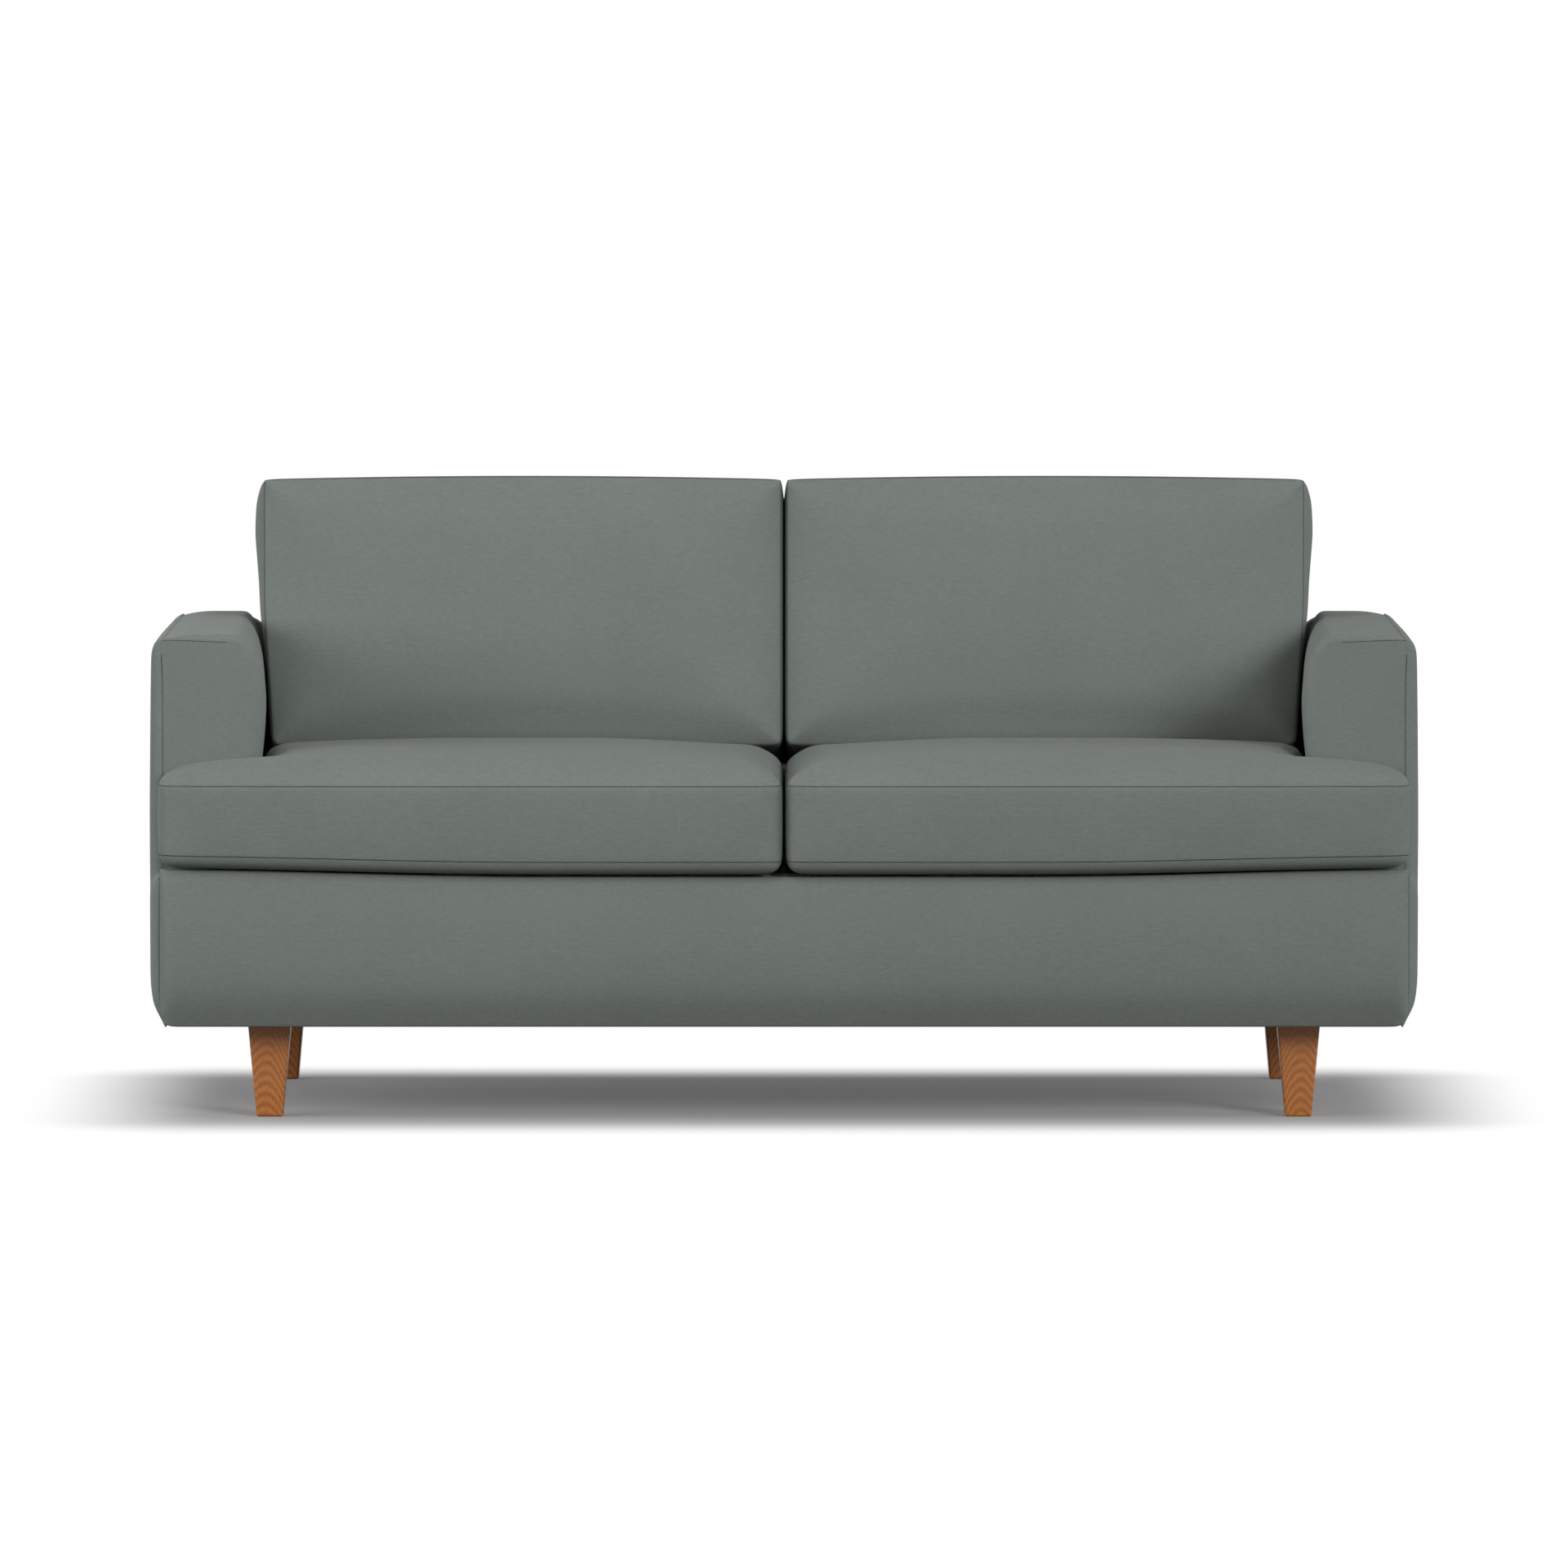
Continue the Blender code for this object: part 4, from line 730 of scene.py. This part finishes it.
for vert in bm.verts:
    x, y, z = vert.co
    gap = edge_distance(x, y, seat_outline)
    front_gap, rear_gap = y - seat_low.y, seat_high.y - y
    inner_gap, outer_gap = x - seat_low.x, seat_high.x - x
    if y > ear_rear:
        notch = seat_side - x
    elif x > seat_side:
        notch = ear_rear - y
    else:
        notch = math.hypot(seat_side - x, ear_rear - y)
    if vert not in rim_points:
        if z > SEAT_SEAM_Z - NEAR:
            roll = quarter(front_gap, SEAT_ROLL_RUN) * quarter(rear_gap, SEAT_ROLL_RUN)
            roll *= quarter(inner_gap, SEAT_INNER_RUN) * quarter(outer_gap, SEAT_EAR_RUN)
            roll *= quarter(notch, SEAT_SIDE_RUN)
            crown = slow_rise(min(inner_gap, outer_gap), SEAT_CROWN_WIDE)
            crown *= slow_rise(min(front_gap, rear_gap), SEAT_CROWN_DEEP)
            vert.co.z += SEAT_ROLL_RISE * roll + SEAT_CROWN * crown
            vert.co.z -= SEAT_SIDE_FALL * eased(x, SEAT_FALL_X, seat_side) * eased(y, *SEAT_FALL_Y)
        else:
            vert.co.z -= SEAT_UNDER * quarter(gap, SEAT_UNDER_RUN)
            if gap > SEAT_UNDER_RUN / 2:
                held.add(vert.index)
    vert.co.z += SEAT_EAR_LIFT * ear_share(x) * (1 - eased(z, bottom_seam, SEAT_SEAM_Z))
    for corner, towards, radius in corners:
        round_corner(vert.co, corner, towards, radius)
    level = min(1, max(0, (z - bottom_seam) / (SEAT_SEAM_Z - bottom_seam)))
    beside = (1 - quarter(seat_side - x, SEAT_SIDE_RUN)) * eased(y, ear_rear, ear_rear + SEAT_LIFT_RUN)
    beside *= 1 - SEAT_LIFT_LOSS * eased(y, seat_high.y - SEAT_LOSS_RUN, seat_high.y)
    vert.co.z += SEAT_SIDE_LIFT * level * beside
    if y > ear_rear:
        along = ((y - ear_rear) / (seat_high.y - ear_rear)) ** SEAT_SPLAY_POWER
        splay = SEAT_SPLAY * (SEAT_SPLAY_FOOT + (1 - SEAT_SPLAY_FOOT) * level)
        vert.co.x += splay * eased(x, SEAT_SPLAY_X, seat_side) * along
seams = [[vert.co.copy() for vert in rims[k]] for k in (0, -1)]
seat_right = piece("seat_cover_right", bm, FABRIC, "seat_cushion_right")
blow_out(seat_right, sorted(held), SEAT_AIR_CAP)
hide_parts("seat_cushion_right")
seat_left = mirrored(seat_right, "seat_cover_left", "seat_cushion_left")
sewn(seat_right, "seat_lower_seam", seams[0], "seat_cushion")
sewn(seat_right, "seat_upper_seam", seams[1], "seat_cushion")


# Back cushions. Box-banded fibre cushions that lean on the inside back. They fan out
# above the arms, and their bands swell between the front and rear seams.
BACK_THICK = 0.160
BACK_FOOT_Y = 0.150  # of the front seam at the foot
# Tables over the height, from 0 to 1: where the side seam lies, and the band's swell.
BACK_SEAM_X = ((0.0, 0.7440), (0.10, 0.7452), (0.23, 0.7482), (0.41, 0.7535), (0.55, 0.7562), (1.0, 0.7565))
BACK_BAND_SWELL = (
    (0.0, 0.0),
    (0.35, 0.001),
    (0.5, 0.007),
    (0.64, 0.010),
    (0.82, 0.016),
    (0.93, 0.014),
    (1.0, 0.006),
)
BACK_BAND_ROWS = 7
BACK_ROWS_NEAR = 0.060
BACK_STEP = 0.018
BACK_ROLL_RISE = 0.010
BACK_ROLL_RUN = 0.026
BACK_CROWN = 0.016
BACK_CROWN_RUN = 0.190
BACK_TOP_CROWN = 0.005
BACK_CORNER = 0.012
BACK_TOP_CORNER = 0.006
BACK_FOOT_LIFT = 0.012  # of the front seam at the foot, where the seat pushes it up
BACK_FOOT_SHARE = 0.2  # of the height, over which the lift ends
BACK_AIR_CAP = 0.004


def between(value, stops):
    """A value read off a table of stops, straight between them."""
    value = min(stops[-1][0], max(stops[0][0], value))
    for (low_at, low_value), (high_at, high_value) in zip(stops, stops[1:]):
        if value <= high_at:
            return low_value + (high_value - low_value) * (value - low_at) / (high_at - low_at)


back_low, back_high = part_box("back_cushion_right")
up = Vector((0, math.sin(BACK_LEAN), math.cos(BACK_LEAN)))
forward = Vector((0, -math.cos(BACK_LEAN), math.sin(BACK_LEAN)))
back_height = (back_high.z - back_low.z) / math.cos(BACK_LEAN) - BACK_THICK * math.tan(BACK_LEAN)
back_wide = back_high.x - back_low.x
foot_rear = Vector((0, BACK_FOOT_Y, 0)) - forward * BACK_THICK
foot_rear.z = back_low.z
back_outline = rectangle((back_low.x, back_high.x), (0, back_height))
bm, rims = boxed(back_outline, even(0, BACK_THICK, BACK_BAND_ROWS), BACK_ROWS_NEAR, BACK_STEP)
bm.verts.index_update()
rim_points = {vert for rim in rims for vert in rim}
held = {vert.index for rim in (rims[0], rims[-1]) for vert in rim}
corners = [((u, v), (1 if u == back_low.x else -1, 1 if v == 0 else -1)) for u, v in back_outline]
for vert in bm.verts:
    gap = edge_distance(*vert.co.xy, back_outline)
    share = vert.co.y / back_height
    level = vert.co.z / BACK_THICK
    if vert not in rim_points:
        if vert.co.z > 0:
            roll = BACK_ROLL_RISE * quarter(gap, BACK_ROLL_RUN)
            vert.co.z += roll + BACK_CROWN * slow_rise(gap, BACK_CROWN_RUN)
        else:
            held.add(vert.index)
    for corner, towards in corners:
        round_corner(vert.co, corner, towards, BACK_CORNER if towards[1] > 0 else BACK_TOP_CORNER)
    vert.co.y += BACK_FOOT_LIFT * max(0, level) * (1 - eased(share, 0, BACK_FOOT_SHARE))
    width_share = (vert.co.x - back_low.x) / back_wide
    band = between(share, BACK_BAND_SWELL) * math.sin(math.pi * min(1, level))
    vert.co.x = back_low.x + (between(share, BACK_SEAM_X) + band - back_low.x) * width_share
    bow = 1 - (2 * width_share - 1) ** 2
    vert.co.y += BACK_TOP_CROWN * bow * max(0, share) ** 3
turn = axes(X, up, forward, foot_rear)
seams = [[turn @ vert.co for vert in rims[k]] for k in (0, -1)]
back_right = piece("back_cushion_cover_right", bm, FABRIC, "back_cushion_right", turn)
blow_out(back_right, sorted(held), BACK_AIR_CAP)
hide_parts("back_cushion_right")
back_left = mirrored(back_right, "back_cushion_cover_left", "back_cushion_left")
sewn(back_right, "back_cushion_rear_seam", seams[0], "back_cushion")
sewn(back_right, "back_cushion_front_seam", seams[1], "back_cushion")


# Legs. Solid ash, sawn square and tapered, stained mid brown and lacquered satin. The
# growth rings show as arches up the faces, with open pores along the grain.
LEG_LIGHT = "#c07a3c"
LEG_DEEP = "#995825"
LEG_PORE = "#6b3a18"
LEG_ROUGHNESS = 0.42
LEG_RINGS = 0.009
LEG_COAT = 0.15
LEG_HEART = (0.737, 0.353)  # in |x| and |y|, about the middle of each leg
LEG_EDGE = 0.0026  # eased edges
LEG_EDGE_ROWS = 3
ARCH_HIGH = 0.017  # between the arches of the legs, up the middle of a face
ARCH_BEND = 22000  # radians for each square metre away from the heart
ARCH_SWAY = 10.0  # how far the grain's figure shifts the arches, in radians
FIGURE_TURNS = 46.0  # radians over the figure's range, where there are no arches
RING_TONE = 0.22  # beside the pores' own
GRAIN_SQUEEZE = 0.14  # of the figure along the grain, which draws it out
PORES_ALONG, PORES_ACROSS = 60.0, 1500.0


def sawn(name, light, deep, pore, along, roughness, rings, coat=0.0, heart=None):
    """Sawn wood: growth rings drawn out along the grain, and fine open pores. Where the heart
    of an upright piece is given, in |x| and |y|, the rings show as arches about it."""
    made, tree, shader, spot = blank(name)
    squeeze = [GRAIN_SQUEEZE if axis == along else 1.0 for axis in range(3)]
    drawn = add(tree, "Mapping", {"Vector": spot["Object"], "Scale": squeeze}).outputs[0]
    field = {"Vector": drawn, "Scale": 0.16 / rings, "Detail": 1.5, "Distortion": 0.6}
    field = add(tree, "TexNoise", field).outputs["Fac"]
    turns = reckon(tree, "MULTIPLY", field, ARCH_SWAY if heart else FIGURE_TURNS)
    if heart:
        away = reckon_vector(tree, "ABSOLUTE", spot["Object"])
        away = reckon_vector(tree, "SUBTRACT", away, (*heart, 0))
        level = reckon_vector(tree, "MULTIPLY", away, (1, 1, 0))
        bent = reckon_vector(tree, "DOT_PRODUCT", level, level)
        height = add(tree, "SeparateXYZ", {0: spot["Object"]}).outputs["Z"]
        turns = reckon(tree, "MULTIPLY_ADD", height, 2 * math.pi / ARCH_HIGH, turns)
        turns = reckon(tree, "MULTIPLY_ADD", bent, ARCH_BEND, turns)
    fine = [PORES_ALONG if axis == along else PORES_ACROSS for axis in range(3)]
    fine = add(tree, "Mapping", {"Vector": spot["Object"], "Scale": fine}).outputs[0]
    pores = {"Vector": fine, "Scale": 1.0, "Detail": 2.0, "Roughness": 0.6}
    pores = add(tree, "TexNoise", pores).outputs["Fac"]
    tone = reckon(tree, "MULTIPLY_ADD", reckon(tree, "SINE", turns), RING_TONE, pores)
    spread = add(tree, "MapRange", {"Value": tone, "From Min": 0.22, "From Max": 0.80}).outputs[0]
    wood = blend(tree, spread, linear(deep), linear(light))
    holes = {"Value": pores, "From Min": 0.40, "From Max": 0.28, "To Max": 0.6}
    holes = add(tree, "MapRange", holes).outputs[0]
    bump = add(tree, "Bump", {"Height": pores, "Strength": 0.35, "Distance": 0.0003}).outputs[0]
    face = {"Base Color": blend(tree, holes, wood, linear(pore)), "Normal": bump}
    fill(tree, shader, face | {"Roughness": roughness, "Coat Weight": coat, "Coat Roughness": 0.35})
    return made


def dress(material, *names):
    """Gives CAD nodes their finish."""
    for name in names:
        nodes[name].data.materials.clear()
        nodes[name].data.materials.append(material)


LEG_WOOD = sawn(
    "ash_stained_brown", LEG_LIGHT, LEG_DEEP, LEG_PORE, 2, LEG_ROUGHNESS, LEG_RINGS, LEG_COAT, LEG_HEART
)
corner_words = [f"{end}_{word}" for end in ("front", "rear") for side, word in SIDES]
for leg in ["leg_" + corner for corner in corner_words]:
    obj = placed(leg + "_eased", nodes[leg].data.copy())
    obj.matrix_world = nodes[leg].matrix_world
    obj.data.materials.clear()
    obj.data.materials.append(LEG_WOOD)
    eased_edge = obj.modifiers.new("eased", "BEVEL")
    eased_edge.width = LEG_EDGE
    eased_edge.segments = LEG_EDGE_ROWS
    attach(obj, "sofa_frame")
    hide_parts(leg)


# Leg plates. Zinc-plated pressed steel, screwed up into the base. The zinc shows faint
# pale spangles and is a little rougher in some of them.
ZINC, tree, shader, spot = blank("zinc_plated_steel")
spangle = {"Vector": spot["Object"], "Scale": 220.0, "Detail": 2.0}
spangle = add(tree, "TexNoise", spangle).outputs["Fac"]
rough = add(tree, "MapRange", {"Value": spangle, "To Min": 0.30, "To Max": 0.45}).outputs[0]
face = {"Base Color": blend(tree, spangle, linear("#a9adb1"), linear("#c9ccce"))}
fill(tree, shader, face | {"Roughness": rough, "Metallic": 1.0})
dress(ZINC, *["leg_plate_" + corner for corner in corner_words])


# Frame timber. Planed softwood rails and posts, glued, stapled and screwed. The grain
# runs along each piece.
PINE_LIGHT = "#d9b47e"
PINE_DEEP = "#c2965c"
PINE_PORE = "#a87b47"
PINE_ROUGHNESS = 0.7
PINE_RINGS = 0.016
PINE_ACROSS, PINE_ALONG, PINE_UP = (
    sawn("planed_pine_" + way, PINE_LIGHT, PINE_DEEP, PINE_PORE, axis, PINE_ROUGHNESS, PINE_RINGS)
    for axis, way in enumerate(("across", "along", "up"))
)
dress(PINE_ACROSS, "front_rail", "rear_rail", "bottom_slat_front", "bottom_slat_rear", "back_top_rail")
for side, word in SIDES:
    dress(PINE_ALONG, "side_rail_" + word, "arm_top_rail_" + word)
    dress(PINE_UP, "arm_front_post_" + word, "arm_rear_post_" + word, "back_post_" + word)


# Back deck. The plywood board under the back cushions is wrapped in black lining cloth,
# whose black is also painted shade for the gap between the seat and back cushions.
# The cloth is drawn flat round its edges.
EVEN_SLUB = (160.0, 160.0, 160.0)
LINING_THREAD = 0.0016
LINING_RELIEF = 0.0002
LINING_ROLL, LINING_STEP = 0.004, 0.08
# Partly painted shade: the lining is black so that the strip of board between the cushions looks as dark as
# shade.
LINING_AND_SHADE = woven("black_lining_cloth_and_gap_shade", "#2b2d2c", "#1d1f1e", LINING_THREAD, EVEN_SLUB, LINING_RELIEF)
low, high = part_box("back_deck")
outline = rectangle((low.x, high.x), (low.y, high.y))
bm, _ = boxed(outline, (low.z, high.z), LINING_ROLL, LINING_STEP)
deck_wrap_and_shade = piece("back_deck_lining_and_shade", bm, LINING_AND_SHADE, "sofa_frame", smooth=False)
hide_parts("back_deck")


# Folding bed frame. Flat steel rails, links, legs and tubes, powder coated dark grey.
# The coat is slightly pebbled and has a soft gloss.
POWDER, tree, shader, spot = blank("powder_coated_steel")
pebble = add(tree, "TexNoise", {"Vector": spot["Object"], "Scale": 900.0, "Detail": 1.0}).outputs["Fac"]
wear = add(tree, "TexNoise", {"Vector": spot["Object"], "Scale": 12.0, "Detail": 3.0}).outputs["Fac"]
bump = add(tree, "Bump", {"Height": pebble, "Strength": 0.3, "Distance": 0.0002}).outputs[0]
face = {"Base Color": blend(tree, wear, linear("#3a3d40"), linear("#4b4f52"))}
fill(tree, shader, face | {"Normal": bump, "Roughness": 0.45})
for part in ("side_plate", "body_rail", "head_rail", "foot_rail", "rear_link", "foot_leg", "mid_leg"):
    dress(POWDER, *[f"{part}_{word}" for side, word in SIDES])
dress(POWDER, "head_end_tube", "pull_bar")


# Bed decks. Taut black polypropylene mesh cloth between the rails, with a slight sag.
# It is a third as thick as the solid that stands for it.
DECK_THREAD = 0.0030
DECK_SLUB = (60.0, 60.0, 60.0)
DECK_RELIEF = 0.0005
DECK_ROUGHNESS = 0.6
DECK_SAG = 0.0022
DECK_ROLL, DECK_STEP = 0.02, 0.05
DECK_CLOTH = woven("polypropylene_deck_cloth", "#3b3e40", "#26282a", DECK_THREAD, DECK_SLUB, DECK_RELIEF)
DECK_CLOTH.node_tree.nodes["Principled BSDF"].inputs["Roughness"].default_value = DECK_ROUGHNESS
for section in ("head", "body", "foot"):
    low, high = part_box(section + "_deck")
    outline = rectangle((low.x, high.x), (low.y, high.y))
    thin = (high.z - low.z) / 3
    bm, _ = boxed(outline, (high.z - thin, high.z), DECK_ROLL, DECK_STEP)
    for vert in bm.verts:
        across = (vert.co.x - low.x) / (high.x - low.x)
        along = (vert.co.y - low.y) / (high.y - low.y)
        vert.co.z -= DECK_SAG * 16 * across * (1 - across) * along * (1 - along)
    deck = piece(section + "_deck_cloth", bm, DECK_CLOTH, "bed_" + section, smooth=False)
    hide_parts(section + "_deck")


# Mattress. One folding pad in three panels, foam under an off-white quilted ticking,
# with a sewn border round each panel.
TICKING_THREAD = 0.0016
TAPE_THREAD = 0.0012
TAPE_RADIUS = 0.0012
TICKING = woven("quilted_cotton_ticking", "#e4e0d6", "#d3cec2", TICKING_THREAD, EVEN_SLUB)
TAPE = woven("cotton_edge_tape", "#b9b4a8", "#a7a296", TAPE_THREAD, EVEN_SLUB)
QUILT = 0.115  # between quilting lines
QUILT_DEPTH = 0.0035
PAD_ROLL, PAD_STEP = 0.020, 0.014
PAD_LEVELS = (-0.5, -0.25, 0.0, 0.25, 0.5)  # of half the height, from the middle
for section in ("head", "body", "foot"):
    low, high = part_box(section + "_mattress")
    outline = rectangle((low.x, high.x), (low.y, high.y))
    middle, half = (low.z + high.z) / 2, (high.z - low.z) / 2
    bm, rims = boxed(outline, [middle + half * level for level in PAD_LEVELS], PAD_ROLL, PAD_STEP)
    rim_points = {vert for rim in rims for vert in rim}
    for vert in bm.verts:
        x, y, z = vert.co
        if vert not in rim_points:
            gap = edge_distance(x, y, outline)
            puff = abs(math.sin(math.pi * (x + y) / QUILT) * math.sin(math.pi * (x - y) / QUILT))
            rise = half / 2 * quarter(gap, PAD_ROLL)
            rise -= QUILT_DEPTH * (1 - math.sqrt(puff)) * min(1, gap / PAD_ROLL)
            vert.co.z += rise if z > middle else -rise
        for corner, towards in zip(outline, ((1, 1), (-1, 1), (-1, -1), (1, -1))):
            round_corner(vert.co, corner, towards, PAD_ROLL)
    edges = [[vert.co.copy() for vert in rims[k]] for k in (0, -1)]
    pad = piece(section + "_mattress_cover", bm, TICKING, "bed_" + section)
    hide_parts(section + "_mattress")
    for edge, level in zip(edges, ("lower", "upper")):
        name = f"{section}_mattress_{level}_tape"
        tape = seam(name, edge, "bed_" + section, TAPE_RADIUS, True, TAPE)


# Dust cover. A sheet of black non-woven felt stapled under the base, hanging slightly.
# It is cut out round the four leg plates.
FELT_THREAD = 0.0040
FELT_SLUB = (300.0, 300.0, 300.0)
FELT_RELIEF = 0.0004
FELT_THICK = 0.0008
FELT_GAP = 0.0003  # round the leg plates
FELT_SAG = 0.004
FELT_SAG_RUN = 0.25
FELT_ROLL, FELT_STEP = 0.03, 0.05
FELT = woven("black_nonwoven_felt", "#2a2b2c", "#1d1e1f", FELT_THREAD, FELT_SLUB, FELT_RELIEF)
low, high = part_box("dust_cover")
front_plate, rear_plate = [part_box(f"leg_plate_{end}_right") for end in ("front", "rear")]
clear = front_plate[0].x - FELT_GAP
half = [
    (clear, low.y),
    (clear, front_plate[1].y + FELT_GAP),
    (high.x, front_plate[1].y + FELT_GAP),
    (high.x, rear_plate[0].y - FELT_GAP),
    (clear, rear_plate[0].y - FELT_GAP),
    (clear, high.y),
]
outline = half + [(-x, y) for x, y in reversed(half)]
bm, _ = boxed(outline, (high.z - FELT_THICK, high.z), FELT_ROLL, FELT_STEP)
for vert in bm.verts:
    vert.co.z -= FELT_SAG * quarter(edge_distance(*vert.co.xy, outline), FELT_SAG_RUN)
felt = piece("dust_cover_felt", bm, FELT, "sofa_frame", smooth=False)
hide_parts("dust_cover")


# Floor and backdrop. A matt paper floor that keeps the sofa's soft shadow. About the sofa the
# camera sees it in a grey that is painted shadow, lifted by a little painted white glow. Away
# from the sofa it is plain white to the camera, so that no horizon shows, and it throws little
# light back up, so that the underside stays dark.
FLOOR_HALF = 30
# Painted shadow: near the sofa the camera sees the floor in this grey rather than white.
PAINTED_SHADOW_GREY = "#b8b8b8"
FLOOR_BOUNCE = "#2c2c2c"
# Painted light: this share of plain white glow lifts the floor even in the shadow.
SHADOW_LIFT_GLOW = 0.10  # of plain white, even in the shadow
# Within this box about the sofa's footprint the floor shows the painted grey with its shadow; beyond it,
# the floor fades to plain white.
SHADOW_HALF = (0.80, 0.38, 1.0)  # the full shadow lies within this of its centre
SHADOW_CENTRE = (0.0, -0.04, 0.0)
FADE = 0.30  # the run over which it turns to white
SOFT_STRENGTH = 0.34  # of the light from all round
WHITE = (1, 1, 1, 1)
floor = bpy.data.meshes.new("floor")
floor_corners = rectangle((-FLOOR_HALF, FLOOR_HALF), (-FLOOR_HALF, FLOOR_HALF))
floor.from_pydata([(x, y, 0) for x, y in floor_corners], [], [(0, 1, 2, 3)])
placed("floor", floor)


def shown_rays(tree):
    """1 for what the camera sees, also by way of a reflection or through glass."""
    seen = add(tree, "LightPath").outputs
    shown = reckon(tree, "MAXIMUM", seen["Is Camera Ray"], seen["Is Glossy Ray"])
    return reckon(tree, "MAXIMUM", shown, seen["Is Transmission Ray"])


PAPER, tree, shader, spot = blank("matt_paper_painted_shadow")
shown = shown_rays(tree)
# The camera sees the painted shadow grey; light bouncing off the floor sees the dark bounce colour.
face = {"Base Color": blend(tree, shown, linear(FLOOR_BOUNCE), linear(PAINTED_SHADOW_GREY))}
fill(tree, shader, face | {"Roughness": 1.0, "Specular IOR Level": 0.0})
offset = reckon_vector(tree, "SUBTRACT", spot["Object"], SHADOW_CENTRE)
offset = reckon_vector(tree, "SUBTRACT", reckon_vector(tree, "ABSOLUTE", offset), SHADOW_HALF)
away = reckon_vector(tree, "LENGTH", reckon_vector(tree, "MAXIMUM", offset, (0, 0, 0)))
fade = {"Value": away, "From Max": FADE, "To Min": SHADOW_LIFT_GLOW}
fade = add(tree, "MapRange", fade, interpolation_type="SMOOTHSTEP").outputs[0]
share = reckon(tree, "MULTIPLY", shown, fade)
plain = add(tree, "Emission", {"Color": WHITE, "Strength": 1.0}).outputs[0]
mixed = add(tree, "MixShader", {0: share, 1: shader.outputs[0], 2: plain}).outputs[0]
fill(tree, tree.nodes["Material Output"], {"Surface": mixed})
floor.materials.append(PAPER)

world = bpy.data.worlds.new("studio")
bpy.context.scene.world = world
world.use_nodes = True
tree = world.node_tree
white = add(tree, "Background", {"Color": WHITE, "Strength": 1.0}).outputs[0]
soft = add(tree, "Background", {"Color": WHITE, "Strength": SOFT_STRENGTH}).outputs[0]
mixed = add(tree, "MixShader", {0: shown_rays(tree), 1: soft, 2: white}).outputs[0]
fill(tree, tree.nodes["World Output"], {"Surface": mixed})


# Lamps and camera. A large soft key lamp far in front on the right, weaker ones on the
# left, above, beside and behind, and the photograph's long lens from far off.
LAMPS = (
    ("key_lamp", (9.4, -17.0, 6.6), 5.0, 0.46),
    ("fill_lamp", (-4.4, -3.6, 1.9), 2.6, 0.24),
    ("left_lamp", (-8.0, -1.6, 2.2), 3.0, 0.24),
    ("right_lamp", (8.0, -1.6, 2.2), 3.0, 0.20),
    ("top_lamp", (-0.6, -1.7, 2.8), 1.6, 0.13),
    ("back_lamp", (-3.0, 9.0, 2.6), 4.0, 0.18),
)
AIM = Vector((0, 0, 0.4))
CAMERA_LENS, CAMERA_SENSOR = 356.96, 36  # millimetres
CAMERA_PLACE = (0, -22.4013, 1.72127)
CAMERA_PITCH = 0.05655  # radians down
CAMERA_REACH = 100
for name, place, size, share in LAMPS:
    lamp = bpy.data.lights.new(name, "AREA")
    lamp.size = size
    aim = AIM - Vector(place)
    lamp.energy = share * math.pi**2 * aim.length_squared
    obj = placed(name, lamp)
    obj.location = place
    obj.rotation_euler = aim.to_track_quat("-Z", "Y").to_euler()

camera = bpy.data.cameras.new("camera")
camera.lens = CAMERA_LENS
camera.sensor_width = CAMERA_SENSOR
camera.clip_end = CAMERA_REACH
camera_obj = placed("camera", camera)
camera_obj.location = CAMERA_PLACE
camera_obj.rotation_euler = (math.pi / 2 - CAMERA_PITCH, 0, 0)
bpy.context.scene.camera = camera_obj
bpy.context.scene.view_settings.view_transform = "Standard"
